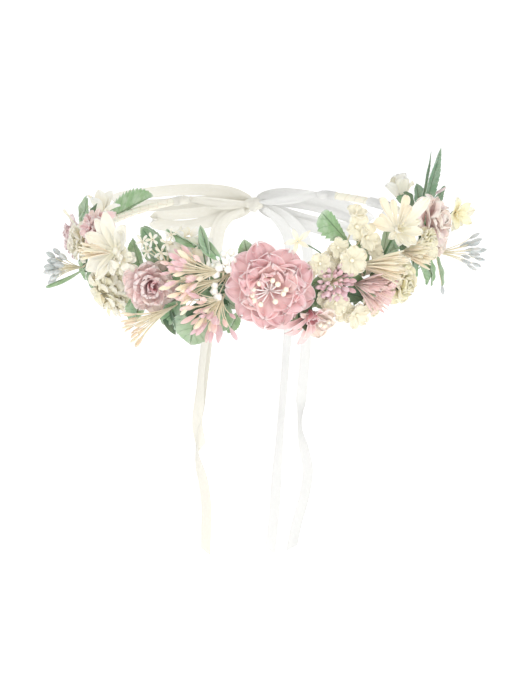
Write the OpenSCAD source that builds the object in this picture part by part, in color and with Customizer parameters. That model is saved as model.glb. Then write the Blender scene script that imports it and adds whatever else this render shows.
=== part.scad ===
// Flower crown: paper flowers on a taped wire ring that is open at the back,
// where two ribbons hitched to its ends are tied in a bow and hang down.
// The ring's centre is the origin. Angles run round the ring from the front (-Y), positive towards +X.

/* [Ring] */
// Radius of the ring's centreline
ring_r = 93; // [80:1:105]
// Diameter of the paper-taped band
band_d = 4.2; // [3:0.1:6]
// Diameter of the core wire
wire_d = 1.2; // [0.8:0.1:2]
// Angle where each bare arm is bent from
arm_root_a = 121; // [105:1:130]
// Angle where each arm's tape ends
arm_tape_a = 151; // [140:1:155]
// Gap in the band at an arm's bend
bend_gap = 1; // [0.8:0.1:2]
// Outer diameter of the loop at each arm's end
eye_d = 7; // [5:0.5:9]

/* [Ribbon] */
// Width of the satin ribbon
ribbon_w = 6.5; // [5:0.5:10]
// Thickness that stands in for the ribbon
ribbon_t = 0.6; // [0.4:0.1:1]
// Width of the knot
knot_d = 9; // [7:0.5:12]
// Height of the knot's centre
knot_z = -6; // [-15:1:0]
// How far behind the ring's centre the knot sits
knot_y = 88; // [80:1:95]

/* [Flowers] */
// Width of the large pink peony
peony_d = 45; // [36:1:52]
// Depth of the large pink peony
peony_h = 9; // [6:0.5:14]
// Width of the small dusty-pink peony
small_peony_d = 24; // [16:1:30]
// Width across a star lily's petals
lily_d = 40; // [30:1:48]
// Width of the cream and yellow carnations
carnation_d = 22; // [16:1:28]
// Width of the pink rose on the right
rose_right_d = 26; // [18:1:30]
// Width of the small roses on the left
rose_left_d = 17; // [14:1:22]
// Width of a cream floret
floret_d = 13; // [9:1:18]
// Diameter of a white berry
berry_d = 3.6; // [3:0.1:6]
// Thickness that stands in for a paper petal
petal_t = 1; // [0.6:0.1:1.6]
// Thickness that stands in for a paper leaf
leaf_t = 0.6; // [0.4:0.1:1]
// Diameter of a flower's wire stem
stem_d = 1; // [0.6:0.1:1.6]

/* [Hidden] */
$fn = 48;
golden_a = 137.5;                             // turn from one bud of a spray to the next
bury = 1.4;                                   // how far from the wire's centre a stem's end stops
gap_a = bend_gap / 2 / ring_r * 180 / PI;     // half the bend's gap, as an angle
front_a = arm_root_a - gap_a;                 // where the front band ends
arm_a = arm_root_a + gap_a;                   // where an arm's band starts
eye_r = (eye_d - wire_d) / 2;                 // radius of an end loop's wire centreline
eye_a = arm_tape_a + eye_r / ring_r * 180 / PI; // angle of an end loop's centre
hitch_t = 1;                                  // thickness of the ribbon wound on an end loop
front_base_r = ring_r + 4;                    // where the foremost flowers' backs stand

white = [0.97, 0.96, 0.94];
ivory = [0.96, 0.94, 0.86];
cream = [0.96, 0.92, 0.76];
yellow_cream = [0.95, 0.88, 0.62];
peach = [0.94, 0.78, 0.64];
pink = [0.93, 0.66, 0.68];
rose = [0.90, 0.52, 0.56];
mauve = [0.82, 0.60, 0.64];
green = [0.36, 0.55, 0.36];
dark_green = [0.20, 0.34, 0.22];
grey_green = [0.60, 0.67, 0.62];
steel = [0.62, 0.62, 0.60];

// Routes of the tails, from the knot down: left back, left front, right inner, right outer.
tail_1 = [[-6, 88, -9], [-11, 88, -11], [-17, 88, -15], [-21, 88, -21], [-23, 88, -30], [-25, 88, -42], [-28, 88, -58],
  [-31, 88, -75], [-34, 88, -94], [-37, 88, -113], [-39, 88, -132], [-41, 88, -148], [-39, 88, -164]];
tail_2 = [[-6, 90, -7], [-12, 90, -9], [-18, 90, -13], [-23, 90, -20], [-26, 90, -31], [-28, 90, -45], [-30, 90, -62],
  [-31, 90, -80], [-33, 90, -98], [-36, 90, -117], [-39, 90, -136], [-42, 90, -154], [-42, 90, -172],
  [-39, 90, -190], [-38, 90, -207], [-39, 90, -223], [-40, 90, -238]];
tail_3 = [[6, 88, -9], [10, 88, -12], [15, 88, -17], [19, 88, -24], [21, 88, -33], [21, 88, -46], [20, 88, -62],
  [19, 88, -80], [17, 88, -98], [15, 88, -117], [13, 88, -136], [11, 88, -155], [9, 88, -175],
  [7, 88, -195], [5, 88, -216], [2, 88, -238]];
tail_4 = [[6, 90, -7], [12, 90, -10], [19, 90, -15], [26, 90, -22], [31, 90, -32], [32, 90, -46], [31, 90, -62],
  [30, 90, -80], [29, 90, -99], [27, 90, -118], [25, 90, -136], [24, 90, -152], [26, 90, -168],
  [28, 90, -184], [25, 90, -202], [20, 90, -220], [16, 90, -238]];

// Routes of the bow's four loops, out from the knot and back to it.
loop_left_upper = [[-5, 94, -2], [-20, 97, 1], [-40, 99, 2], [-60, 100, 1], [-76, 101, -1], [-84, 102, -3], [-85, 103, -6],
  [-78, 103, -8], [-60, 103, -8], [-40, 102, -7], [-20, 100, -6], [-6, 98, -5]];
loop_left_lower = [[-5, 93, -11], [-16, 94, -14], [-30, 95, -18], [-44, 96, -20], [-56, 97, -19], [-62, 98, -17],
  [-60, 99, -14], [-50, 98, -13], [-36, 97, -12], [-20, 96, -10.5]];
loop_right_upper = [[5, 94, -2], [18, 96, -2], [32, 97, -4], [46, 98, -8], [58, 99, -13], [68, 100, -19], [71, 101, -24],
  [66, 102, -23], [54, 102, -18], [38, 101, -12], [20, 100, -8], [7, 98, -6]];
loop_right_lower = [[5, 93, -11], [14, 93, -15], [26, 94, -20], [40, 94, -25], [54, 95, -29], [66, 96, -31], [73, 97, -31],
  [70, 98, -29], [58, 98, -26], [42, 97, -22], [26, 96, -17]];

// ---- shared geometry ----

// The point at angle a round the ring, r from its axis and z up
function ring_point(a, r, z) = [r * sin(a), -r * cos(a), z];

// Where a stem bound at angle a and running to point p starts, inside the tape
function stem_root(a, p) = let (c = ring_point(a, ring_r, 0)) c + bury * (p - c) / norm(p - c);

function unit(v) = v / norm(v);

// Sweeps a section along the ring from angle a0 to a1
module around(a0, a1) {
  rotate([0, 0, a0 - 90]) rotate_extrude(angle = a1 - a0, $fn = 96) translate([ring_r, 0]) children();
}

// Stands a piece on the ring: its +Z points outward and up by pitch, its +Y up
module at(a, r, z, pitch = 0, yaw = 0, spin = 0) {
  translate(ring_point(a, r, z)) rotate([0, 0, a + yaw]) rotate([90 - pitch, 0, 0]) rotate([0, 0, spin]) children();
}

// A round rod between two points
module rod(p, q, d) {
  v = q - p;
  translate(p) rotate([0, acos(v[2] / norm(v)), atan2(v[1], v[0])]) cylinder(h = norm(v), d = d, $fn = 16);
}

// A flower's stem, bound into the tape at angle a and reaching a head at angle b
module stem(a, b, r, z, d = stem_d) {
  p = ring_point(b, r, z);
  rod(stem_root(a, p), p, d);
}

// Annulus section of a sleeve
module sleeve_section(outer, inner) {
  difference() {
    circle(d = outer);
    circle(d = inner);
  }
}

// ---- ribbon ----

// Across-direction of a ribbon at a route's point: from w0 at its start to w1 at its end share
function across(route, i, w0, w1, reach) =
  let (t = unit(route[min(i + 1, len(route) - 1)] - route[max(i - 1, 0)]),
       s = min(1, i / reach),
       w = w0 * (1 - s) + w1 * s)
  unit(w - (w * t) * t);

// One eight-sided flat ring of a ribbon
function ribbon_ring(route, i, w0, w1, reach) =
  let (t = unit(route[min(i + 1, len(route) - 1)] - route[max(i - 1, 0)]),
       w = across(route, i, w0, w1, reach),
       n = cross(t, w),
       h = ribbon_w / 2,
       e = ribbon_t / 2)
  [for (c = [[h, 0.3], [h * 0.8, 1], [-h * 0.8, 1], [-h, 0.3], [-h, -0.3], [-h * 0.8, -1], [h * 0.8, -1], [h, -0.3]])
    route[i] + w * c[0] + n * c[1] * e];

// A ribbon swept along a route as one closed solid
module ribbon(route, w0 = [0, 0, 1], w1 = [0, 0, 1], reach = 3) {
  n = len(route);
  sides = 8;
  points = [for (i = [0:n - 1]) each ribbon_ring(route, i, w0, w1, reach)];
  walls = [for (i = [0:n - 2], k = [0:sides - 1])
    let (a = i * sides + k, b = i * sides + (k + 1) % sides)
    each [[a, a + sides, b], [b, a + sides, b + sides]]];
  first = [for (k = [1:sides - 2]) [0, k, k + 1]];
  last = [for (k = [1:sides - 2]) [(n - 1) * sides, (n - 1) * sides + k + 1, (n - 1) * sides + k]];
  polyhedron(points, concat(walls, first, last), convexity = 4);
}

// ---- petals, leaves and buds ----

// A round outline with n petal lobes
module lobes(d, n) {
  circle(d = d * 0.74);
  for (i = [0:n - 1]) rotate(i * 360 / n) translate([d * 0.29, 0]) circle(d = d * 0.42);
}

// A shallow bowl of n rounded petals, its back at z = 0
module bloom(d, h, n, t = petal_t) {
  steps = 6;
  intersection() {
    rotate_extrude() polygon(concat(
      [for (i = [0:steps]) let (u = i / steps) [d / 2 * u, (h - t) * u * u]],
      [for (i = [steps:-1:0]) let (u = i / steps) [d / 2 * u, (h - t) * u * u + t]]));
    translate([0, 0, -1]) linear_extrude(h + 2) lobes(d, n);
  }
}

// A domed rosette of ruffled rings, its back at z = 0
module rosette(d, h, rings, n) {
  groove = h * 0.16;
  intersection() {
    rotate_extrude() polygon(concat(
      [[0, 0], [d * 0.26, 0], [d * 0.5, h * 0.45]],
      [for (i = [2 * rings:-1:0]) let (u = i / (2 * rings)) [d * 0.5 * u, h * (1 - 0.35 * u * u) - (i % 2) * groove]]));
    translate([0, 0, -1]) linear_extrude(h + 2) lobes(d, n);
  }
}

// A pointed oval, from the origin along +Y
module oval_outline(l, w) {
  r = (l * l + w * w) / (4 * w);
  translate([0, l / 2]) intersection() {
    translate([r - w / 2, 0]) circle(r = r, $fn = 96);
    translate([w / 2 - r, 0]) circle(r = r, $fn = 96);
  }
}

// A leaf outline with teeth, from the origin along +Y
module toothed_outline(l, w, n = 8, tooth = 0.7) {
  steps = 2 * n;
  function half(i) = w / 2 * sin(180 * pow(i / steps, 0.75)) + (i % 2) * tooth;
  polygon(concat(
    [for (i = [0:steps]) [half(i), l * i / steps]],
    [for (i = [steps - 1:-1:1]) [-half(i), l * i / steps]]));
}

// A leaf folded along its midrib, lying along +Y with its upper face to +Z
module leaf(l, w, fold = 15, toothed = true) {
  for (s = [-1, 1]) rotate([0, -s * fold, 0]) linear_extrude(leaf_t) intersection() {
    if (toothed) toothed_outline(l, w);
    else oval_outline(l, w);
    translate([s > 0 ? -0.2 : 0.2 - w, -1]) square([w, l + 2]);
  }
}

// A pointed petal rising from the origin along +Y, lifted by tilt
module pointed_petal(l, w, tilt) {
  rotate([tilt, 0, 0]) linear_extrude(petal_t) oval_outline(l, w);
}

// A star of n pointed petals round a hub, every third one lifted more
module star(d, w, n, tilt) {
  hub_d = w * 0.7;
  for (i = [0:n - 1]) rotate(i * 360 / n) translate([0, hub_d * 0.3, 0.2])
    pointed_petal(d / 2 - hub_d * 0.3, w, tilt + (i % 3) * 9);
  cylinder(h = petal_t * 2, d = hub_d);
}

// A closed bud standing on z = 0
module bud(l, d) {
  rotate_extrude($fn = 24) polygon([for (i = [0:8]) let (u = i / 8) [d / 2 * sin(180 * pow(u, 0.8)), l * u]]);
}

// A spray of n buds on fine stems, opening round +Z
module spray(n, open_a, l, bud_l, bud_d, fine_d = 0.7) {
  for (i = [0:n - 1]) rotate([0, 0, i * golden_a]) rotate([0, open_a * sqrt((i + 0.5) / n), 0]) {
    cylinder(h = l + bud_l * 0.2, d = fine_d, $fn = 16);
    translate([0, 0, l]) bud(bud_l, bud_d);
  }
}

// A five-petalled floret with a bead at its heart
module floret(d, n = 5) {
  linear_extrude(petal_t) for (i = [0:n - 1]) rotate(i * 360 / n) translate([d * 0.28, 0]) circle(d = d * 0.42, $fn = 32);
  cylinder(h = petal_t, d = d * 0.36);
  translate([0, 0, petal_t]) sphere(d = d * 0.16, $fn = 24);
}

// ---- band ----

module wire_front() color(steel) around(-front_a, front_a) circle(d = wire_d);

// An arm's wire with the loop at its end; side is -1 for the left and 1 for the right
module arm_wire(side) {
  color(steel) {
    around(side > 0 ? arm_a : -arm_tape_a, side > 0 ? arm_tape_a : -arm_a) circle(d = wire_d);
    translate(ring_point(side * eye_a, ring_r, 0)) rotate_extrude() translate([eye_r, 0]) circle(d = wire_d);
  }
}

module wire_left() arm_wire(-1);
module wire_right() arm_wire(1);

module tape_front() color(ivory) around(-front_a, front_a) sleeve_section(band_d, wire_d);
module tape_left() color(ivory) around(-arm_tape_a + 1, -arm_a) sleeve_section(band_d, wire_d);
module tape_right() color(ivory) around(arm_a, arm_tape_a - 1) sleeve_section(band_d, wire_d);

// Ribbon wound on the far half of an end loop
module hitch(side) {
  color(ivory) translate(ring_point(side * eye_a, ring_r, 0)) rotate([0, 0, side > 0 ? 125 : -25])
    rotate_extrude(angle = 80) translate([eye_r, 0]) sleeve_section(wire_d + 2 * hitch_t, wire_d);
}

module hitch_left() hitch(-1);
module hitch_right() hitch(1);

module ribbon_wrap() color(white) around(124, 133) sleeve_section(band_d + 2, band_d);

// ---- bow and tails ----

strand_end = [6, 85, knot_z + 1.5];
eye_back = ring_point(eye_a + 3, ring_r, 0);

module strand(side) {
  start = eye_back;
  color(ivory) ribbon([for (s = [0:0.2:1])
    let (p = start * (1 - s) + strand_end * s) [side * p[0], p[1], p[2] - 2 * sin(180 * s)]]);
}

module strand_left() strand(-1);
module strand_right() strand(1);

module bow_knot() {
  color(ivory) translate([0, knot_y + 1, knot_z]) {
    sphere(d = knot_d);
    rotate([0, 90, 0]) rotate_extrude() translate([knot_d / 2 - 0.6, 0]) circle(d = 2.4, $fn = 24);
  }
}

module bow_loop_1() color(ivory) ribbon(loop_left_upper);
module bow_loop_2() color(ivory) ribbon(loop_left_lower);
module bow_loop_3() color(ivory) ribbon(loop_right_upper);
module bow_loop_4() color(ivory) ribbon(loop_right_lower);

module tail_left_short() color(white) ribbon(tail_1, w1 = [-1, 0, 0]);
module tail_left_long() color(white) ribbon(tail_2, w1 = [-1, 0, 0]);
module tail_right_inner() color(white) ribbon(tail_3, w1 = [1, 0, 0]);
module tail_right_outer() color(white) ribbon(tail_4, w1 = [1, 0, 0]);

// ---- large peony and what is round it ----

peony_a = 4;
peony_z = 2.5;

module peony_outer() {
  color(pink) at(peony_a, front_base_r + 1, peony_z, pitch = 6) bloom(peony_d, peony_h, 8);
  color(green) stem(peony_a, peony_a, front_base_r + 1.5, peony_z, 1.6);
}

module peony_inner() color(rose) at(peony_a, front_base_r + 2.2, peony_z, pitch = 6) bloom(peony_d * 0.62, peony_h + 3, 6);

module peony_stamens() {
  color(white) at(peony_a, front_base_r + 3.4, peony_z, pitch = 6) {
    spray(10, 52, 8, 2.4, 2.2, 0.6);
    translate([0, 0, -0.1]) cylinder(h = 1, d = 2);
  }
}

module peony_leaves() {
  color(green) {
    at(-2, front_base_r - 2.8, 13, spin = 8) leaf(14, 8);
    at(6, front_base_r - 1, -13, spin = 200) leaf(13, 7);
    at(-6, front_base_r - 1, -13, spin = 150) leaf(12, 6);
    stem(-2, -2, front_base_r - 2.5, 14);
    stem(6, 6, front_base_r - 0.7, -14);
    stem(-6, -6, front_base_r - 0.7, -14);
  }
}

module berries_white() {
  color(white) at(-8, ring_r + 3, 11, pitch = 6) for (i = [0:6])
    rotate(i * golden_a) rotate([0, 62 * sqrt(i / 6), 0]) {
      cylinder(h = 5.5, d = 0.7, $fn = 16);
      translate([0, 0, 5.5]) sphere(d = berry_d, $fn = 24);
    }
  color(green) stem(-8, -8, ring_r + 3.2, 11);
}

// ---- left of the peony ----

module buds_upper() color(mauve) {
  at(-14, ring_r + 5, 9, yaw = -28, pitch = 14) spray(10, 42, 9, 7, 2.2);
  stem(-13, -14, ring_r + 5, 9);
}

module buds_lower() color(pink) {
  at(-12, ring_r + 5, -4, yaw = -22, pitch = -30) spray(11, 46, 10, 8, 2.4);
  stem(-12, -12, ring_r + 5, -4);
}

module leaves_folded() color(green) {
  at(-15, ring_r + 9, 23, spin = 62) leaf(18, 6, 30, false);
  at(-13, ring_r + 9.5, 20, spin = 18) leaf(13, 7, 30, false);
  stem(-17, -15.4, ring_r + 9.3, 23.4, 0.8);
  stem(-10.5, -13.2, ring_r + 9.8, 21, 0.8);
}

module frill_ivory() {
  color(cream) at(-21, ring_r + 2, 21, pitch = 20) rosette(15, 4, 3, 7);
  color(green) stem(-21, -21, ring_r + 2.3, 18);
}

module leaves_low() color(green) {
  at(-17, ring_r + 3, -13, spin = 170) leaf(19, 13);
  at(-21, ring_r + 5.5, -9, spin = 135) leaf(15, 8);
  stem(-17, -17, ring_r + 3.3, -14);
  stem(-21, -21.4, ring_r + 5.8, -10);
}

module tassel_cream() color(cream) {
  at(-26, ring_r + 5.5, -9, yaw = -38, pitch = -34) spray(9, 26, 17, 5, 1.8, 0.6);
  stem(-26.5, -26, ring_r + 5.7, -9);
}

module peony_small() {
  color(mauve) at(-32, front_base_r, 1.5) rosette(small_peony_d, 10, 4, 7);
  color(green) stem(-32, -32, front_base_r + 0.4, 1.5, 1.4);
}

module leaves_left() color(dark_green) {
  at(-33, ring_r + 2.5, 10, spin = 8) leaf(24, 12);
  at(-37, ring_r + 3.5, 9, spin = 32) leaf(17, 8);
  at(-29, ring_r + 3.5, 9, spin = -14) leaf(16, 7);
  for (a = [-33, -37, -29]) stem(a, a, ring_r + 4, 10);
}

module filigree_sprig() {
  color(cream) for (k = [[-25, 25, 0], [-29, 27, 6], [-27, 20, 4], [-31, 21, -2]])
    at(k[0], ring_r + 11, k[1], pitch = 20, spin = k[2] * 8) floret(6.5);
  color(green) {
    for (k = [[-25, 25], [-29, 27], [-27, 20], [-31, 21]])
      rod(ring_point(-27, ring_r + 7, 12), ring_point(k[0], ring_r + 11.4, k[1]), 0.7);
    stem(-27, -27, ring_r + 7.2, 12.3);
  }
}

module lily_left() {
  color(ivory) at(-42, ring_r + 14, 18, pitch = 14) star(lily_d, 11, 7, 18);
  color(green) stem(-42, -42, ring_r + 14.4, 18, 1.4);
}

module lily_left_stamens() color(peach) {
  at(-42, ring_r + 16.2, 18.6, pitch = 14, yaw = -18) spray(8, 30, 8, 5, 1.8, 0.6);
}

module carnation_cream() {
  color(cream) at(-51, front_base_r, -5, pitch = -8) rosette(carnation_d, 11, 5, 9);
  color(green) stem(-51, -51, front_base_r + 0.4, -5, 1.4);
}

module rose_pink_left() {
  color(pink) at(-57, front_base_r, 24, pitch = 24) rosette(rose_left_d, 8, 3, 6);
  color(green) stem(-57, -57, front_base_r + 0.4, 24, 1.2);
}

module rose_ivory() {
  color(ivory) at(-70, front_base_r + 1, 11, pitch = 6) rosette(rose_left_d, 9, 3, 6);
  color(green) stem(-70, -70, front_base_r + 1.4, 11, 1.2);
}

module petals_mauve() {
  color(mauve) at(-85, front_base_r, 6) bloom(23, 7, 6);
  color(green) stem(-85, -85, front_base_r + 0.5, 5, 1.2);
}

module sprig_left() color(grey_green) {
  at(-70, ring_r + 6, -4, yaw = -16, pitch = 4) spray(8, 26, 12, 6, 1.8, 0.6);
  stem(-70, -70, ring_r + 6.2, -4);
}

module leaves_back_left() color(green) {
  at(-98, ring_r + 3, 5, spin = 10) leaf(17, 8, 32, false);
  at(-104, ring_r + 3, 5, spin = -14) leaf(15, 7, 32, false);
  stem(-98, -98, ring_r + 3.3, 6);
  stem(-104, -104, ring_r + 3.3, 6);
}

module bloom_ivory_small() {
  color(ivory) at(-114, ring_r + 3, 8, pitch = 55) rosette(13, 5, 2, 6);
  color(green) stem(-114, -114, ring_r + 3, 8.4);
}

module leaf_broad_left() color(green) {
  at(-119, ring_r + 5, 4, yaw = -14, spin = 84) leaf(36, 15, 12);
  stem(-119, -119, ring_r + 5, 4.4);
}

// ---- right of the peony ----

module florets_upper() {
  color(cream) {
    for (k = [[19, 7, 12, 11], [24, 8, 18, 10], [27, 11, 12, 15], [33, 7, 21, 10], [30, 7.5, 29, 12]])
      at(k[0], ring_r + k[1], k[2], pitch = 10, spin = 20 * k[0]) floret(k[3]);
    at(13, ring_r + 6, 24, pitch = 25) floret(9);
  }
  color(green) {
    for (k = [[19, 7, 12], [24, 8, 18], [27, 11, 12], [33, 7, 21], [30, 7.5, 29], [13, 6, 24]])
      rod(ring_point(24, ring_r + 6, 8), ring_point(k[0], ring_r + k[1] + 0.4, k[2]), 0.8);
    stem(24, 24, ring_r + 6.2, 8.4, 1.4);
  }
}

module leaf_broad_right() color(green) {
  at(29, ring_r + 1.5, 12, spin = 36) leaf(27, 15, 15);
  stem(29, 29, ring_r + 1.8, 13);
}

module buds_right() color(mauve) {
  at(22.5, ring_r + 5, 1.5, yaw = -4, pitch = 2) spray(10, 44, 6, 5, 2.2);
  stem(22.5, 22.5, ring_r + 5.2, 1.5, 1.4);
}

module carnation_pink() {
  color(pink) {
    at(16, ring_r + 5, -14, pitch = -32) rosette(17, 9, 3, 7);
    at(16, ring_r + 5, -14, pitch = -42) for (i = [0:6]) rotate([0, 0, 105 + i * 25]) rotate([55, 0, 0])
      translate([0, 4, 0]) linear_extrude(petal_t) oval_outline(14, 3.4);
  }
  color(green) stem(16, 16, ring_r + 5.2, -14, 1.4);
}

module florets_lower() {
  color(cream) for (k = [[23, 10, -9, 13], [30, 7, -19, 13], [34, 6, -13, 11], [26, 5, -16, 10]])
    at(k[0], ring_r + k[1], k[2], pitch = -14, spin = 31 * k[0]) floret(k[3]);
  color(green) {
    for (k = [[23, 10, -9], [30, 7, -19], [34, 6, -13], [26, 5, -16]])
      rod(ring_point(28, ring_r + 4, -6), ring_point(k[0], ring_r + k[1] + 0.4, k[2]), 0.8);
    stem(28, 28, ring_r + 4.2, -6.4, 1.4);
  }
}

module brush_peach() color(peach) {
  at(35, ring_r + 5, 4.4, yaw = 40, pitch = -6) spray(9, 28, 16, 9, 1.8);
  at(54, ring_r + 5, 3, yaw = 8) spray(6, 30, 9, 7, 1.9);
  stem(34, 35, ring_r + 5.2, 4.4);
  stem(53, 54, ring_r + 5.2, 3);
}

module brush_dusty() color(mauve) {
  at(34, ring_r + 5, -4.6, yaw = 6, pitch = -8) spray(14, 50, 10, 6, 1.8);
  stem(33, 34, ring_r + 5.2, -4.6, 1.4);
}

module carnation_yellow() {
  color(yellow_cream) at(49, front_base_r, -9) rosette(17, 9, 4, 8);
  color(green) stem(49, 49, front_base_r + 0.4, -9, 1.2);
}

module lily_right() {
  color(ivory) at(46, ring_r + 10, 21, pitch = 34) star(lily_d * 0.95, 8, 8, 14);
  color(yellow_cream) at(46, ring_r + 11.5, 22.2, pitch = 34) spray(8, 34, 5, 3, 1.5, 0.6);
  color(green) stem(43, 46, ring_r + 10.5, 21, 1.4);
}

module floret_side() {
  color(cream) at(61, ring_r + 10, 5) floret(floret_d);
  color(green) stem(61, 61, ring_r + 10.4, 5);
}

module rose_pink_right() {
  color(pink) at(72, front_base_r, 11, pitch = 8) rosette(rose_right_d, 11, 4, 7);
  color(green) stem(72, 72, front_base_r + 0.4, 11, 1.4);
}

module rosebud_white() {
  color(white) at(116, ring_r + 4, 7, pitch = 60, yaw = 20) bud(16, 12);
  color(green) {
    at(116, ring_r + 4, 7, pitch = 60, yaw = 20) for (i = [0:3]) rotate(i * 90 + 45) rotate([50, 0, 0])
      linear_extrude(leaf_t) oval_outline(9, 3);
    stem(115, 116, ring_r + 4, 7.4, 1.2);
  }
}

module blade_leaves() color(dark_green) {
  at(88, ring_r + 4, 6, spin = -6, pitch = -8) leaf(42, 7, 25, false);
  at(96, ring_r + 4, 6, spin = -16) leaf(26, 6, 25, false);
  at(103, ring_r + 4, 6, spin = 14) leaf(18, 7, 25, false);
  for (a = [88, 96, 103]) stem(a, a, ring_r + 4.2, 7);
}

module flower_yellow() {
  color(yellow_cream) at(86, ring_r + 19, 13, pitch = 10) star(17, 5, 5, 40);
  color(green) stem(84, 86, ring_r + 19.4, 13, 0.9);
}

module sprig_right() color(grey_green) {
  at(80, ring_r + 6, -9, yaw = 12, pitch = -14) spray(8, 28, 14, 7, 1.9, 0.6);
  stem(80, 80, ring_r + 6.2, -9);
}

module leaves_right() color(dark_green) {
  at(66, ring_r + 3, -5, spin = -150) leaf(17, 7, 25, false);
  at(90, ring_r + 3, -5, spin = 175) leaf(20, 6, 25, false);
  at(64, ring_r + 3.5, -4, spin = 200) leaf(15, 6, 25, false);
  for (a = [66, 90]) stem(a, a, ring_r + 3.2, -6);
  stem(64, 64, ring_r + 3.8, -5);
}

// ---- what is drawn ----

wire_front();
wire_left();
wire_right();
tape_front();
tape_left();
tape_right();
hitch_left();
hitch_right();
ribbon_wrap();
strand_left();
strand_right();
bow_knot();
bow_loop_1();
bow_loop_2();
bow_loop_3();
bow_loop_4();
tail_left_short();
tail_left_long();
tail_right_inner();
tail_right_outer();
peony_outer();
peony_inner();
peony_stamens();
peony_leaves();
berries_white();
buds_upper();
buds_lower();
leaves_folded();
frill_ivory();
leaves_low();
tassel_cream();
peony_small();
leaves_left();
filigree_sprig();
lily_left();
lily_left_stamens();
carnation_cream();
rose_pink_left();
rose_ivory();
petals_mauve();
sprig_left();
leaves_back_left();
bloom_ivory_small();
leaf_broad_left();
florets_upper();
leaf_broad_right();
buds_right();
carnation_pink();
florets_lower();
brush_peach();
brush_dusty();
carnation_yellow();
lily_right();
floret_side();
rose_pink_right();
rosebud_white();
blade_leaves();
flower_yellow();
sprig_right();
leaves_right();
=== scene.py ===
"""Paper flower crown on a taped wire ring, tied at the back with satin ribbon.

Lengths inside the shapes are millimetres and become metres when a piece is built.
Angles run round the ring from its front, positive towards +X.
"""

import math

import bpy
import numpy as np
from bpy.props import FloatProperty, FloatVectorProperty, PointerProperty
from mathutils import Matrix, Vector


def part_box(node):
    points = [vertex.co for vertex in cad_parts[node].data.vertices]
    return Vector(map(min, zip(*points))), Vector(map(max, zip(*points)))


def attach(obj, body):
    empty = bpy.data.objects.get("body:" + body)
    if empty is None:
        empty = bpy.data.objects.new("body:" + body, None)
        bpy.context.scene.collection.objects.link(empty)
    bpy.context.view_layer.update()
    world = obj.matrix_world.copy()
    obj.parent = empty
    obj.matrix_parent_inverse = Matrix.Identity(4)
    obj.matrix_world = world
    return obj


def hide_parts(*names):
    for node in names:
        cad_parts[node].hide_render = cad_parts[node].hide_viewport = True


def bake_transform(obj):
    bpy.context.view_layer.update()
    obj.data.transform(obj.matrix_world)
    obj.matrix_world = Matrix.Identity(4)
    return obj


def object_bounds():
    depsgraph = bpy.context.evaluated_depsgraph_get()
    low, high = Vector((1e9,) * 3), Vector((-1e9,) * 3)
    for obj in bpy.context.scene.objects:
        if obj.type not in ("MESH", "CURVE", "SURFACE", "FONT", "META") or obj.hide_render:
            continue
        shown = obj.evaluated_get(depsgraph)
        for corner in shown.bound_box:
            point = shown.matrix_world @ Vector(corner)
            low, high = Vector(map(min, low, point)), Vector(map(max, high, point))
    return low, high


bl_info = {
    "name": "Flower crown",
    "version": (1, 0, 0),
    "blender": (4, 5, 0),
    "location": "3D View > Sidebar > Flower crown",
    "description": "Builds a paper flower crown on a taped wire ring, tied with satin ribbon",
    "category": "Object",
}

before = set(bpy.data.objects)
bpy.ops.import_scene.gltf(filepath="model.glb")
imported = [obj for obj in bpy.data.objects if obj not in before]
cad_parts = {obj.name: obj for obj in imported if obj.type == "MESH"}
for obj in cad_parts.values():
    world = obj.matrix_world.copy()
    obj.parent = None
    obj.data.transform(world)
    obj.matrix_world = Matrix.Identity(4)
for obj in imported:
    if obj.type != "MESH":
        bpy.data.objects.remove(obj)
cad_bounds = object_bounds()

MM = 0.001
GOLDEN = 137.5

wire_low, wire_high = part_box("wire_front")
WIRE_R = (wire_high.z - wire_low.z) / 2 / MM
RING_R = -wire_low.y / MM - WIRE_R
tape_low, tape_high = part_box("tape_front")
TAPE_R = (tape_high.z - tape_low.z) / 2 / MM
knot_low, knot_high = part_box("bow_knot")
KNOT = (knot_low + knot_high) / 2 / MM

# Where each bare arm bends, where its tape ends and where its end loop stands, in degrees
ARM_ROOT = 121
ARM_END = 151
EYE_ANGLE = 152.8
EYE_R = 2.9


def hanging(depth, *route):
    """A hanging ribbon's route, from (across, up) pairs at one depth behind the ring's centre."""
    return [(x, depth, z) for x, z in route]


# Routes of the hanging ribbon ends, from the knot down
TAIL_LEFT_SHORT = hanging(
    88, (-6, -9), (-11, -11), (-17, -15), (-21, -21), (-23, -30), (-25, -42), (-28, -58), (-31, -75),
    (-34, -94), (-37, -113), (-39, -132), (-41, -148), (-39, -164))
TAIL_LEFT_LONG = hanging(
    90, (-6, -7), (-12, -9), (-18, -13), (-23, -20), (-26, -31), (-28, -45), (-30, -62), (-31, -80),
    (-33, -98), (-36, -117), (-39, -136), (-42, -154), (-42, -172), (-39, -190), (-38, -207),
    (-39, -223), (-40, -238))
TAIL_RIGHT_INNER = hanging(
    88, (6, -9), (10, -12), (15, -17), (19, -24), (21, -33), (21, -46), (20, -62), (19, -80),
    (17, -98), (15, -117), (13, -136), (11, -155), (9, -175), (7, -195), (5, -216), (2, -238))
TAIL_RIGHT_OUTER = hanging(
    90, (6, -7), (12, -10), (19, -15), (26, -22), (31, -32), (32, -46), (31, -62), (30, -80),
    (29, -99), (27, -118), (25, -136), (24, -152), (26, -168), (28, -184), (25, -202), (20, -220),
    (16, -238))

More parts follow.
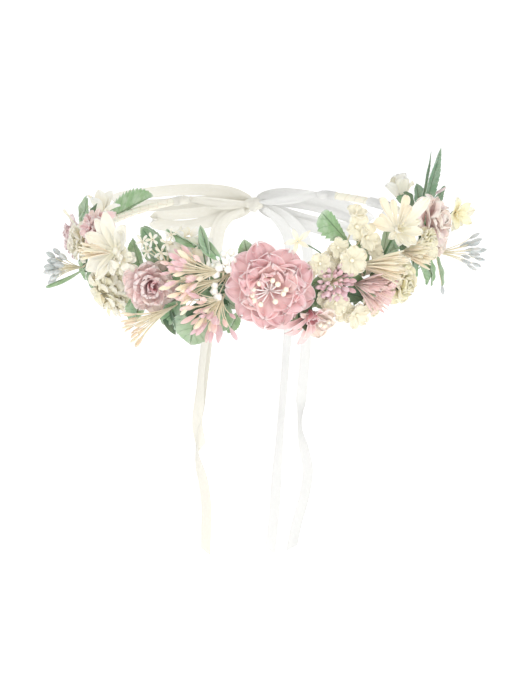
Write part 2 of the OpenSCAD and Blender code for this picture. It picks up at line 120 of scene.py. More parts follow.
# Routes of the bow's loops, out from the knot and back to it
LOOP_ROUTES = {
    "bow_loop_1": [
        (-5, 94, -2), (-20, 97, 1), (-40, 99, 2), (-60, 100, 1), (-76, 101, -1),
        (-84, 102, -3), (-85, 103, -6), (-78, 103, -8), (-60, 103, -8), (-40, 102, -7),
        (-20, 100, -6), (-6, 98, -5),
    ],
    "bow_loop_2": [
        (-5, 93, -11), (-16, 94, -14), (-30, 95, -18), (-44, 96, -20), (-56, 97, -19),
        (-62, 98, -17), (-60, 99, -14), (-50, 98, -13), (-36, 97, -12), (-20, 96, -10.5),
    ],
    "bow_loop_3": [
        (5, 94, -2), (18, 96, -2), (32, 97, -4), (46, 98, -8), (58, 99, -13),
        (68, 100, -19), (71, 101, -24), (66, 102, -23), (54, 102, -18), (38, 101, -12),
        (20, 100, -8), (7, 98, -6),
    ],
    "bow_loop_4": [
        (5, 93, -11), (14, 93, -15), (26, 94, -20), (40, 94, -25), (54, 95, -29),
        (66, 96, -31), (73, 97, -31), (70, 98, -29), (58, 98, -26), (42, 97, -22),
        (26, 96, -17),
    ],
}


# ---- settings a user would change ----

def shade(red, green, blue):
    """A colour given as it looks on screen, turned into the linear values Blender keeps."""
    return tuple(c / 12.92 if c <= 0.04045 else ((c + 0.055) / 1.055) ** 2.4 for c in (red, green, blue))


def colour_property(name, description, *screen):
    """A colour that a user can change, given here as it looks on screen."""
    return FloatVectorProperty(
        name=name, description=description, subtype="COLOR", size=3, min=0, max=1, default=shade(*screen))


def length_property(name, description, millimetres):
    """A length that a user can change, given here in millimetres."""
    return FloatProperty(
        name=name, description=description, subtype="DISTANCE", unit="LENGTH", min=0,
        default=millimetres * MM)


class CrownSizes(bpy.types.PropertyGroup):
    """Sizes of the crown's parts."""

    ribbon_width: length_property("Ribbon width", "Width of the satin ribbon", 6.5)
    ribbon_thickness: length_property("Ribbon thickness", "Thickness of the satin ribbon", 0.3)
    petal_thickness: length_property("Petal thickness", "Thickness of a paper petal", 0.22)
    leaf_thickness: length_property("Leaf thickness", "Thickness of a paper leaf", 0.3)
    stem_width: length_property("Stem width", "Width of a flower's wire stem", 1.1)
    filament_width: length_property("Filament width", "Width of a stamen's thread", 0.8)
    anther_width: length_property("Anther width", "Width of a stamen's round tip", 3.0)
    berry_width: length_property("Berry width", "Width of a white berry", 4.3)


class CrownColours(bpy.types.PropertyGroup):
    """Colours of the crown's papers, ribbon and tape."""

    pink: colour_property("Pink", "The large peony's petals", 0.96, 0.765, 0.765)
    rose: colour_property("Rose", "Hearts of the pink flowers", 0.87, 0.60, 0.61)
    crimson: colour_property("Crimson", "The deepest folds of the pink flowers", 0.72, 0.33, 0.38)
    mauve: colour_property("Mauve", "Cooler pink petals and buds", 0.88, 0.765, 0.785)
    salmon: colour_property("Salmon", "Warm pink buds", 0.955, 0.825, 0.79)
    peach: colour_property("Peach", "Peach petals and filaments", 0.97, 0.885, 0.765)
    blush: colour_property("Blush", "Petals that are nearly white", 0.975, 0.915, 0.90)
    ivory: colour_property("Ivory", "Ivory petals", 0.97, 0.952, 0.895)
    cream: colour_property("Cream", "Cream petals", 0.96, 0.928, 0.815)
    yellow: colour_property("Yellow", "Yellow-cream petals", 0.98, 0.956, 0.80)
    white: colour_property("White", "White petals and berries", 0.975, 0.975, 0.96)
    leaf: colour_property("Leaf", "Light leaves", 0.50, 0.645, 0.475)
    dark_leaf: colour_property("Dark leaf", "Dark leaves", 0.28, 0.39, 0.30)
    blue_leaf: colour_property("Blue leaf", "Blue-green leaves", 0.42, 0.565, 0.46)
    bud_grey: colour_property("Grey buds", "Grey-green buds of the side sprigs", 0.78, 0.80, 0.80)
    straw: colour_property("Straw", "Pale stems of buds and tassels", 0.89, 0.84, 0.72)
    ribbon: colour_property("Ribbon", "Satin ribbon", 0.925, 0.925, 0.915)
    tape: colour_property("Tape", "Paper tape on the wire", 0.95, 0.935, 0.875)
    steel: colour_property("Wire", "Core wire", 0.62, 0.62, 0.60)


class CrownStage(bpy.types.PropertyGroup):
    """Camera, light and floor."""

    distance: length_property("Camera distance", "From the ring's centre to the camera", 1000)
    elevation: FloatProperty(
        name="Camera elevation", description="How far above level the camera stands",
        subtype="ANGLE", unit="ROTATION", default=math.radians(16.3))
    roll: FloatProperty(
        name="Camera roll", description="How far the camera leans sideways",
        subtype="ANGLE", unit="ROTATION", default=math.radians(2.2))
    drop: FloatProperty(
        name="View drop", description="How far below the ring's centre the camera looks",
        subtype="ANGLE", unit="ROTATION", default=math.radians(3.245))
    drift: FloatProperty(
        name="View drift", description="How far left of the ring's centre the camera looks",
        subtype="ANGLE", unit="ROTATION", default=math.radians(0.064))
    lens: FloatProperty(
        name="Lens", description="Focal length in millimetres", unit="CAMERA", default=95.47)
    floor_gap: length_property("Floor gap", "From the lowest ribbon end to the floor", 22)
    key_power: FloatProperty(
        name="Key light", description="Power of the soft light above the front", unit="POWER", default=8)
    fill_power: FloatProperty(
        name="Fill light", description="Power of the soft light from the right", unit="POWER", default=8)
    sky: FloatProperty(name="Surroundings", description="Brightness of the white room", min=0, default=0.80)


# ---- finishes ----

class Value:
    """A shader socket that takes part in ordinary arithmetic."""

    def __init__(self, paint, socket):
        self.paint = paint
        self.socket = socket

    def maths(self, operation, first, second=0.0):
        """The result of one maths node."""
        return self.paint.node("ShaderNodeMath", {"operation": operation}, {0: first, 1: second})

    def __add__(self, other):
        return self.maths("ADD", self, other)

    def __radd__(self, other):
        return self.maths("ADD", other, self)

    def __sub__(self, other):
        return self.maths("SUBTRACT", self, other)

    def __rsub__(self, other):
        return self.maths("SUBTRACT", other, self)

    def __mul__(self, other):
        return self.maths("MULTIPLY", self, other)

    def __rmul__(self, other):
        return self.maths("MULTIPLY", other, self)

    def __abs__(self):
        return self.maths("ABSOLUTE", self)

    def larger(self, other):
        """The larger of this and another value."""
        return self.maths("MAXIMUM", self, other)

    def fraction(self):
        """What is left over after the whole part."""
        return self.maths("FRACT", self)

    def sine(self):
        """The sine of this value, in radians."""
        return self.maths("SINE", self)


class Paint:
    """A new material, with the nodes that it is drawn with."""

    def __init__(self, name):
        self.material = bpy.data.materials.new(name)
        self.material.use_nodes = True
        self.tree = self.material.node_tree
        self.tree.nodes.clear()

    def node(self, kind, settings=None, values=None, output=0):
        """Adds a node, sets it up, fills or links its sockets and returns one of its outputs."""
        made = self.tree.nodes.new(kind)
        for name, setting in (settings or {}).items():
            if name == "stops":
                self.set_stops(made.color_ramp, setting)
            else:
                setattr(made, name, setting)
        for name, value in (values or {}).items():
            if isinstance(value, Value):
                self.tree.links.new(value.socket, made.inputs[name])
            else:
                made.inputs[name].default_value = value
        return Value(self, made.outputs[output])

    @staticmethod
    def set_stops(ramp, stops):
        """Sets a ramp's stops from (position, colour) pairs."""
        while len(ramp.elements) < len(stops):
            ramp.elements.new(0.5)
        for element, (position, colour) in zip(ramp.elements, stops):
            element.position = position
            element.color = (*colour[:3], 1)

    def mark(self, name):
        """A number stored on the mesh's points."""
        return self.node("ShaderNodeAttribute", {"attribute_name": name}, output="Fac")

    def place(self):
        """Where the surface is on the crown, in metres."""
        return self.node("ShaderNodeTexCoord", output="Object")

    def point(self, x, y, z):
        """A vector from three values."""
        return self.node("ShaderNodeCombineXYZ", {}, {0: x, 1: y, 2: z})

    def noise(self, vector, scale, detail=2.0):
        """Cloudy noise between about 0.2 and 0.8."""
        return self.node(
            "ShaderNodeTexNoise", {}, {"Vector": vector, "Scale": scale, "Detail": detail}, output=0)

    def ramp(self, value, stops):
        """A colour picked along a ramp."""
        return self.node("ShaderNodeValToRGB", {"stops": stops}, {0: value})

    def mix(self, factor, first, second):
        """One colour fading into another."""
        return self.node(
            "ShaderNodeMix", {"data_type": "RGBA"},
            {0: factor, 6: self.colour(first), 7: self.colour(second)}, output=2)

    @staticmethod
    def colour(value):
        """A plain colour with its fourth number, or a link as it is."""
        return value if isinstance(value, Value) else (*value[:3], 1)

    def between(self, value, low, high, top=1.0):
        """Rises smoothly from 0 to top as a value goes from low to high."""
        return self.node(
            "ShaderNodeMapRange", {"interpolation_type": "SMOOTHSTEP"},
            {0: value, 1: low, 2: high, 3: 0.0, 4: top})

    def surface(self, colour, roughness, height=None, relief=0.0002, constants=None):
        """Joins colour, roughness and relief into the finished material."""
        values = {"Base Color": colour, "Roughness": roughness}
        values.update(constants or {})
        if height is not None:
            values["Normal"] = self.node(
                "ShaderNodeBump", {}, {"Strength": 0.8, "Distance": relief, "Height": height})
        shader = self.node("ShaderNodeBsdfPrincipled", {}, values)
        self.node_output(shader)
        return self.material

    def node_output(self, shader):
        """Ends the material."""
        made = self.tree.nodes.new("ShaderNodeOutputMaterial")
        self.tree.links.new(shader.socket, made.inputs[0])


def blend(first, second, share):
    """A colour between two others."""
    return tuple(a * (1 - share) + b * share for a, b in zip(first, second))


PAPER = {
    "Subsurface Weight": 0.35,
    "Subsurface Radius": (1.0, 0.8, 0.7),
    "Subsurface Scale": 0.0025,
    "Sheen Weight": 0.12,
    "Specular IOR Level": 0.25,
}


def petal_paint(name, heart, body, tip, other, rim, rim_start=0.9, rim_share=0.75, veins=16.0):
    """Dyed paper petal: it fades from heart to tip, some lean to another dye, and the cut rim is pale. A
    heart deeper than the body is partly dye and partly painted shade where the petals crowd at their base.
    """
    paint = Paint(name)
    along, across, tint = (paint.mark(name) for name in ("along", "across", "tint"))
    clouds = paint.noise(paint.place(), 170.0, 3.0)
    streak = paint.noise(paint.point(across * veins, along * 3.0, tint * 41.0), 1.0, 3.0)
    fade = along + (clouds - 0.5) * 0.5 + (streak - 0.5) * 0.25
    # The heart colour at the petal's base is partly dye and partly painted shade for the crowded base
    colour = paint.ramp(fade, [(0.0, heart), (0.32, blend(heart, body, 0.75)), (0.6, body), (1.0, tip)])
    colour = paint.mix(paint.between(tint + (clouds - 0.5) * 0.5, 0.42, 0.85, 0.85), colour, other)
    colour = paint.mix(paint.between(streak, 0.5, 0.8, 0.22), colour, blend(heart, body, 0.35))
    edge = abs(across).larger(along) + (clouds - 0.5) * 0.05
    colour = paint.mix(paint.between(edge, rim_start, rim_start + 0.09, rim_share), colour, rim)
    grain = paint.noise(paint.place(), 2600.0, 2.0)
    height = streak * 0.7 + grain * 0.35
    return paint.surface(colour, grain * 0.2 + 0.62, height, 0.0003, PAPER)


def leaf_paint(name, body, vein, pale):
    """Pressed paper leaf: midrib and side veins, lighter patches in places and on some whole leaves, and a
    pale cut edge.
    """
    paint = Paint(name)
    along, across, tint = (paint.mark(name) for name in ("along", "across", "tint"))
    width = abs(across)
    clouds = paint.noise(paint.place(), 210.0, 4.0)
    side = (along * 7.0 - width * 1.6).fraction()
    vein_mask = paint.between(abs(side - 0.5), 0.42, 0.5) * (1.0 - paint.between(width, 0.75, 1.0))
    midrib = 1.0 - paint.between(width, 0.03, 0.1)
    colour = paint.mix(paint.between(clouds, 0.35, 0.7), body, blend(body, pale, 0.4))
    colour = paint.mix(paint.between(tint, 0.3, 1.0, 0.5), colour, pale)
    colour = paint.mix(vein_mask * 0.4, colour, vein)
    colour = paint.mix(midrib * 0.75, colour, vein)
    edge = width.larger(along)
    colour = paint.mix(paint.between(edge, 0.93, 1.0, 0.45), colour, blend(pale, (1, 1, 1), 0.25))
    grain = paint.noise(paint.place(), 2400.0, 2.0)
    height = grain * 0.4 - vein_mask * 0.6 - midrib * 0.8
    return paint.surface(colour, grain * 0.2 + 0.55, height, 0.0003, PAPER)


def thread_paint(name, body, tip):
    """Waxed thread or a wrapped stem, a little darker in places, with fine rings."""
    paint = Paint(name)
    along = paint.mark("along")
    clouds = paint.noise(paint.place(), 400.0, 2.0)
    colour = paint.mix(along, body, tip)
    colour = paint.mix(paint.between(clouds, 0.45, 0.75, 0.45), colour, blend(body, (0.1, 0.08, 0.05), 0.35))
    rings = paint.noise(paint.place(), 2500.0, 1.0)
    return paint.surface(colour, rings * 0.2 + 0.5, rings, 0.0002, PAPER)


def bud_paint(name, first, second, third, base):
    """Little rolled paper buds in three dyes, paler at the base, with lengthwise folds."""
    paint = Paint(name)
    along, across, tint = (paint.mark(name) for name in ("along", "across", "tint"))
    clouds = paint.noise(paint.place(), 450.0, 3.0)
    dye = paint.mix(paint.between(tint, 0.30, 0.36), first, second)
    dye = paint.mix(paint.between(tint, 0.66, 0.72), dye, third)
    fold = paint.noise(paint.point(across * 9.0, along * 1.5, tint * 31.0), 1.0, 2.0)
    colour = paint.mix(1.0 - paint.between(along, 0.0, 0.4), dye, base)
    colour = paint.mix(paint.between(fold, 0.5, 0.75, 0.4), colour, blend(first, (0.35, 0.2, 0.2), 0.14))
    colour = paint.mix(paint.between(clouds, 0.5, 0.75, 0.5), colour, blend(second, (1, 1, 1), 0.35))
    return paint.surface(colour, clouds * 0.25 + 0.45, fold, 0.0004, PAPER)


def bead_paint(name, body, shadow):
    """Pearly round tips and berries, with faint dimples."""
    paint = Paint(name)
    clouds = paint.noise(paint.place(), 600.0, 3.0)
    colour = paint.mix(paint.between(clouds, 0.4, 0.75), body, shadow)
    return paint.surface(colour, clouds * 0.2 + 0.35, clouds, 0.0003, {**PAPER, "Specular IOR Level": 0.4})


def satin_paint(name, body):
    """Satin ribbon: fine threads along its length, a firmer selvage and a soft sheen."""
    paint = Paint(name)
    along, across, tint = (paint.mark(name) for name in ("along", "across", "tint"))
    threads = paint.noise(paint.point(across * 34.0, along * 6.0, tint * 9.0), 1.0, 2.0)
    slubs = paint.noise(paint.point(across * 3.0, along * 40.0, tint * 5.0), 1.0, 2.0)
    selvage = paint.between(abs(across), 0.86, 0.93)
    colour = paint.mix(paint.between(threads, 0.35, 0.75, 0.5), body, blend(body, (0.72, 0.70, 0.64), 0.3))
    colour = paint.mix(paint.between(slubs, 0.45, 0.8, 0.3), colour, blend(body, (1, 1, 1), 0.6))
    colour = paint.mix(selvage * 0.35, colour, blend(body, (0.8, 0.78, 0.72), 0.5))
    weave = (along * 5200.0).sine() * 0.15 + threads
    constants = {
        "Sheen Weight": 0.35, "Sheen Roughness": 0.4, "Subsurface Weight": 0.25,
        "Subsurface Radius": (1.0, 1.0, 0.95), "Subsurface Scale": 0.0012, "Specular IOR Level": 0.45,
    }
    return paint.surface(colour, threads * 0.25 + 0.32, weave + selvage * 0.5, 0.00015, constants)


def tape_paint(name, body):
    """Crepe paper tape wound in overlapping turns: crinkles across it and a soft line at each overlap."""
    paint = Paint(name)
    along = paint.mark("along")
    across = paint.mark("across")
    lap = (along + across * 0.5).fraction()
    line = 1.0 - paint.between(lap, 0.02, 0.16)
    crinkle = paint.noise(paint.point(along * 16.0, across * 5.0, lap * 2.0), 1.0, 3.0)
    clouds = paint.noise(paint.place(), 150.0, 2.0)
    colour = paint.mix(line * 0.55, body, blend(body, (0.45, 0.38, 0.28), 0.5))
    colour = paint.mix(paint.between(clouds, 0.4, 0.7, 0.4), colour, blend(body, (0.75, 0.66, 0.5), 0.35))
    colour = paint.mix(paint.between(crinkle, 0.5, 0.8, 0.35), colour, blend(body, (1, 1, 1), 0.7))
    return paint.surface(colour, crinkle * 0.2 + 0.6, crinkle - line * 0.4, 0.0004, PAPER)


def wire_paint(name, body):
    """Drawn steel wire with fine lengthwise marks."""
    paint = Paint(name)
    marks = paint.noise(paint.place(), 1800.0, 3.0)
    colour = paint.mix(paint.between(marks, 0.4, 0.7), body, blend(body, (0.3, 0.29, 0.27), 0.5))
    return paint.surface(colour, marks * 0.3 + 0.2, marks, 0.00005, {"Metallic": 1.0})


FINISHES = {}


def make_finishes(colours):
    """Mixes every finish once from the colours in the sidebar."""
    c = colours
    pale_green = blend(c.leaf, (1, 1, 1), 0.4)
    recipes = {
        # Each petal recipe's first colour is its heart; where it is deeper than the body it is partly dye and
        # partly painted shade at the petals' crowded base
        "peony_petal": (petal_paint, blend(c.pink, c.rose, 0.25), c.pink, blend(c.pink, c.mauve, 0.45),
            blend(c.salmon, c.pink, 0.25), c.blush, 0.93, 0.8),
        "peony_inner_petal": (petal_paint, blend(c.pink, c.salmon, 0.4), blend(c.pink, c.salmon, 0.2),
            blend(c.pink, c.rose, 0.06), blend(c.salmon, c.pink, 0.4), c.blush, 0.93, 0.8),
        "dusty_petal": (petal_paint, blend(c.crimson, c.rose, 0.4), blend(c.pink, c.blush, 0.45),
            blend(c.salmon, c.blush, 0.55), blend(c.blush, c.peach, 0.45), c.blush, 0.9, 0.6),
        "crimson_petal": (petal_paint, c.crimson, blend(c.crimson, c.rose, 0.4), blend(c.rose, c.pink, 0.4),
            c.pink, c.blush, 0.9, 0.6),
        "frilly_pink_petal": (petal_paint, blend(c.crimson, c.rose, 0.5), blend(c.pink, c.blush, 0.15),
            blend(c.blush, c.pink, 0.55), blend(c.blush, c.peach, 0.4), c.blush, 0.88, 0.6),
        "blush_petal": (petal_paint, blend(c.rose, c.salmon, 0.7), blend(c.blush, c.pink, 0.2),
            blend(c.blush, c.peach, 0.3), blend(c.peach, c.blush, 0.5), c.ivory, 0.9, 0.6),
        "mauve_petal": (petal_paint, c.mauve, blend(c.mauve, c.pink, 0.3), blend(c.mauve, c.blush, 0.4),
            c.blush, c.blush, 0.9, 0.6),
        "ivory_petal": (petal_paint, blend(c.cream, c.peach, 0.35), c.ivory, c.white, c.cream, c.white,
            0.9, 0.5),
        "lily_petal": (petal_paint, blend(c.cream, c.yellow, 0.4), c.ivory, blend(c.ivory, c.cream, 0.5),
            c.cream, c.white, 0.9, 0.5, 24.0),
        "peach_lily_petal": (petal_paint, blend(c.ivory, c.cream, 0.5), blend(c.cream, c.peach, 0.4),
            blend(c.peach, c.cream, 0.25), c.white, c.ivory, 0.9, 0.5, 26.0),
        "cream_petal": (petal_paint, blend(c.yellow, c.peach, 0.45), blend(c.cream, c.ivory, 0.4), c.ivory,
            blend(c.cream, c.yellow, 0.5), c.ivory, 0.88, 0.4),
        "floret_petal": (petal_paint, blend(c.cream, c.straw, 0.4), blend(c.cream, c.straw, 0.12),
            blend(c.ivory, c.cream, 0.7), c.cream, c.ivory, 0.88, 0.35, 20.0),
        "yellow_petal": (petal_paint, blend(c.yellow, shade(0.93, 0.72, 0.42), 0.35), c.yellow,
            blend(c.yellow, c.cream, 0.5), c.cream, c.ivory, 0.9, 0.4, 20.0),
        "peach_petal": (petal_paint, blend(c.peach, c.straw, 0.4), c.peach, blend(c.peach, c.cream, 0.5),
            blend(c.cream, c.yellow, 0.3), c.ivory, 0.9, 0.4, 10.0),
        "dusty_filament": (petal_paint, blend(c.rose, c.straw, 0.3), blend(c.rose, c.blush, 0.6),
            blend(c.pink, c.salmon, 0.5), blend(c.salmon, c.peach, 0.4), c.blush, 0.93, 0.4, 8.0),
        "leaf": (leaf_paint, c.leaf, blend(c.dark_leaf, c.leaf, 0.2), pale_green),
        # Worn by filler leaves low between the flowers, where its darker green is partly painted shade for
        # those gaps
        "dark_leaf": (leaf_paint, c.dark_leaf, blend(c.dark_leaf, (0, 0, 0), 0.35),
                      blend(c.dark_leaf, c.leaf, 0.5)),
        "blue_leaf": (leaf_paint, c.blue_leaf, blend(c.dark_leaf, c.blue_leaf, 0.2),
                      blend(c.blue_leaf, c.white, 0.3)),
        "stem": (thread_paint, c.dark_leaf, blend(c.leaf, c.dark_leaf, 0.4)),
        "straw_stem": (thread_paint, c.straw, blend(c.straw, c.cream, 0.5)),
        "filament": (thread_paint, blend(c.blush, c.pink, 0.25), c.white),
        "pink_buds": (bud_paint, c.salmon, blend(c.mauve, c.pink, 0.3), blend(c.cream, c.peach, 0.4),
                      c.peach),
        "dusty_buds": (bud_paint, blend(c.mauve, c.rose, 0.25), c.mauve, blend(c.salmon, c.mauve, 0.4),
                       c.mauve),
        "cream_buds": (bud_paint, blend(c.peach, c.cream, 0.4), c.cream, blend(c.peach, c.salmon, 0.3),
                       c.straw),
        "grey_buds": (bud_paint, c.bud_grey, blend(c.bud_grey, c.white, 0.25),
            blend(c.bud_grey, c.blue_leaf, 0.12), c.bud_grey),
        "anther": (bead_paint, blend(c.ivory, c.cream, 0.35), c.cream),
        "berry": (bead_paint, c.white, blend(c.cream, c.white, 0.3)),
        "satin": (satin_paint, c.ribbon),
        "warm_satin": (satin_paint, blend(c.ribbon, c.cream, 0.4)),
        "tape": (tape_paint, c.tape),
        "wire": (wire_paint, c.steel),
    }
    for name, (recipe, *dyes) in recipes.items():
        FINISHES[name] = recipe(name, *dyes)


# ---- shapes ----

def ring_spot(angle, out, up):
    """The point at an angle round the ring, out from its axis and up."""
    a = math.radians(angle)
    return Vector((out * math.sin(a), -out * math.cos(a), up))


def seat(angle, out, up, pitch=0.0, yaw=0.0, spin=0.0):
    """Stands a flower on the ring: its +Z faces out and up by pitch, its +Y is up."""
    return (Matrix.Translation(ring_spot(angle, out, up))
            @ Matrix.Rotation(math.radians(angle + yaw), 4, "Z")
            @ Matrix.Rotation(math.radians(90 - pitch), 4, "X")
            @ Matrix.Rotation(math.radians(spin), 4, "Z"))


def shift(x, y, z):
    """A plain move."""
    return Matrix.Translation((x, y, z))


def turned(turn=0.0, lean=0.0, roll=0.0):
    """Turn about +Z, then lean about X and roll about Y."""
    return (Matrix.Rotation(math.radians(turn), 4, "Z")
            @ Matrix.Rotation(math.radians(lean), 4, "X")
            @ Matrix.Rotation(math.radians(roll), 4, "Y"))


def placed(points, place):
    """Points moved by a matrix."""
    if place is None:
        return points
    m = np.array(place)
    return points @ m[:3, :3].T + m[:3, 3]


def smooth_path(route, step=1.5):
    """A smooth line through a route's points."""
    route = np.asarray(route, float)
    ends = np.vstack([2 * route[0] - route[1], route, 2 * route[-1] - route[-2]])
    pieces = []
    for i in range(1, len(ends) - 2):
        a, b, c, d = ends[i - 1:i + 3]
        count = max(2, int(np.linalg.norm(c - b) / step))
        t = np.linspace(0, 1, count, endpoint=False)[:, None]
        pieces.append(0.5 * (2 * b + (c - a) * t + (2 * a - 5 * b + 4 * c - d) * t ** 2
                             + (3 * b - a - 3 * c + d) * t ** 3))
    pieces.append(route[-1:])
    return np.vstack(pieces)


def bent_line(start, middle, end, count=8):
    """A smooth bend from start to end, pulled towards middle."""
    t = np.linspace(0, 1, count)[:, None]
    start, middle, end = (np.array(p, float) for p in (start, middle, end))
    return (1 - t) ** 2 * start + 2 * t * (1 - t) * middle + t ** 2 * end


def petal_shape(random, length, width, base=0.25, blunt=0.5, skew=1.7, rise=(20, 25, 30), wrap=40.0,
                ruffle=0.0, waves=2.0, notch=0.0, frill=0.0, frills=7.0, crumple=0.0, fold=0.0, sway=0.0,
                rows=13, cols=9):
    """One petal: it starts at the origin, runs along +Y and rises by the three angles in rise.

    wrap is the angle of the arc across it, and ruffle, frill and notch shape its far edge."""
    t = (1 - (1 - np.linspace(0, 1, rows)) ** 1.6) * 0.998
    s = np.linspace(-1, 1, cols)
    along, across = np.meshgrid(t, s, indexing="ij")
    half = width / 2 * (base * (1 - along) ** 2 + np.sin(np.pi * along ** skew) ** blunt)
    angle = np.radians(np.interp(t, [0, 0.5, 1], rise))
    steps = np.diff(t, prepend=0) * length
    spine_y = np.cumsum(steps * np.cos(angle))[:, None]
    spine_z = np.cumsum(steps * np.sin(angle))[:, None]
    arc = max(math.radians(wrap) / 2, 0.02)
    side = half / arc * np.sin(across * arc)
    lift = half / arc * (1 - np.cos(across * arc)) + fold * half * np.abs(across)
    a, b, c, d = random.uniform(0, 2 * np.pi, 4)
    far = along ** 2
    wave = waves * np.pi * across
    lift = lift + ruffle * far * (np.sin(wave + a) + 0.45 * np.sin(2.3 * wave + b))
    crease = np.sin(5 * along + c) * np.sin(3.3 * across + d) + 0.5 * np.sin(9 * along + 4 * across + b)
    lift = lift + crumple * crease
    reach = -notch * length * np.exp(-(across / 0.28) ** 2) * along ** 8
    reach = reach + frill * length * np.sin(frills * np.pi * across + c) * along ** 6
    side = side + sway * length * along ** 2
    ca, sa = np.cos(angle)[:, None], np.sin(angle)[:, None]
    grid = np.stack([side, spine_y + reach * ca - lift * sa, spine_z + reach * sa + lift * ca], -1)
    return grid, along, across


def leaf_shape(random, length, width, teeth=10, tooth=0.1, fold=0.25, rise=(5, 10, 15), veins=7.0, pleat=0.35,
               wave=0.0, blunt=0.75, skew=1.15, twist=0.0, left=1.0, right=1.0, cols=13):
    """One leaf: it starts at the origin, runs along +Y and folds along its midrib, with toothed edges.

    left and right scale its two halves, for a leaf whose one half is folded out of sight."""
    if teeth:
        t = np.concatenate([(i + np.array([0.0, 0.35, 0.7, 0.95])) / teeth for i in range(teeth)] + [[0.998]])
        saw = np.tile([0.0, 0.35, 0.7, 1.0], teeth)
        saw = np.append(saw, 0.0)
    else:
        t = (1 - (1 - np.linspace(0, 1, 26)) ** 1.3) * 0.998
        saw = np.zeros(26)
    s = np.linspace(-1, 1, cols)
    along, across = np.meshgrid(t, s, indexing="ij")
    outline = 0.05 * (1 - along) ** 2 + np.sin(np.pi * along ** skew) ** blunt
    half = width / 2 * outline * (1 + tooth * (saw[:, None] - 0.4))
    angle = np.radians(np.interp(t, [0, 0.5, 1], rise))
    steps = np.diff(t, prepend=0) * length
    spine_y = np.cumsum(steps * np.cos(angle))[:, None]
    spine_z = np.cumsum(steps * np.sin(angle))[:, None]
    a, b = random.uniform(0, 2 * np.pi, 2)
    half = half * np.where(across > 0, right, left)
    lift = fold * half * np.abs(across)
    lift = lift + pleat * (np.abs(np.sin(np.pi * (along * veins - np.abs(across) * 1.6))) - 0.6) * np.minimum(
        1, 4 * (1 - along)) * np.sin(np.pi * np.minimum(1, np.abs(across) * 1.2))
    lift = lift + wave * across ** 2 * np.sin(2 * np.pi * along * 3 + a + (across > 0) * 1.7)
    lift = lift + 0.03 * length * np.sin(3 * along + b) * across
    turn = math.radians(twist) * along
    side = half * across * math.cos(math.atan(fold))
    side, lift = side * np.cos(turn) - lift * np.sin(turn), side * np.sin(turn) + lift * np.cos(turn)
    ca, sa = np.cos(angle)[:, None], np.sin(angle)[:, None]
    grid = np.stack([side, spine_y - lift * sa, spine_z + lift * ca], -1)
    return grid, along, across


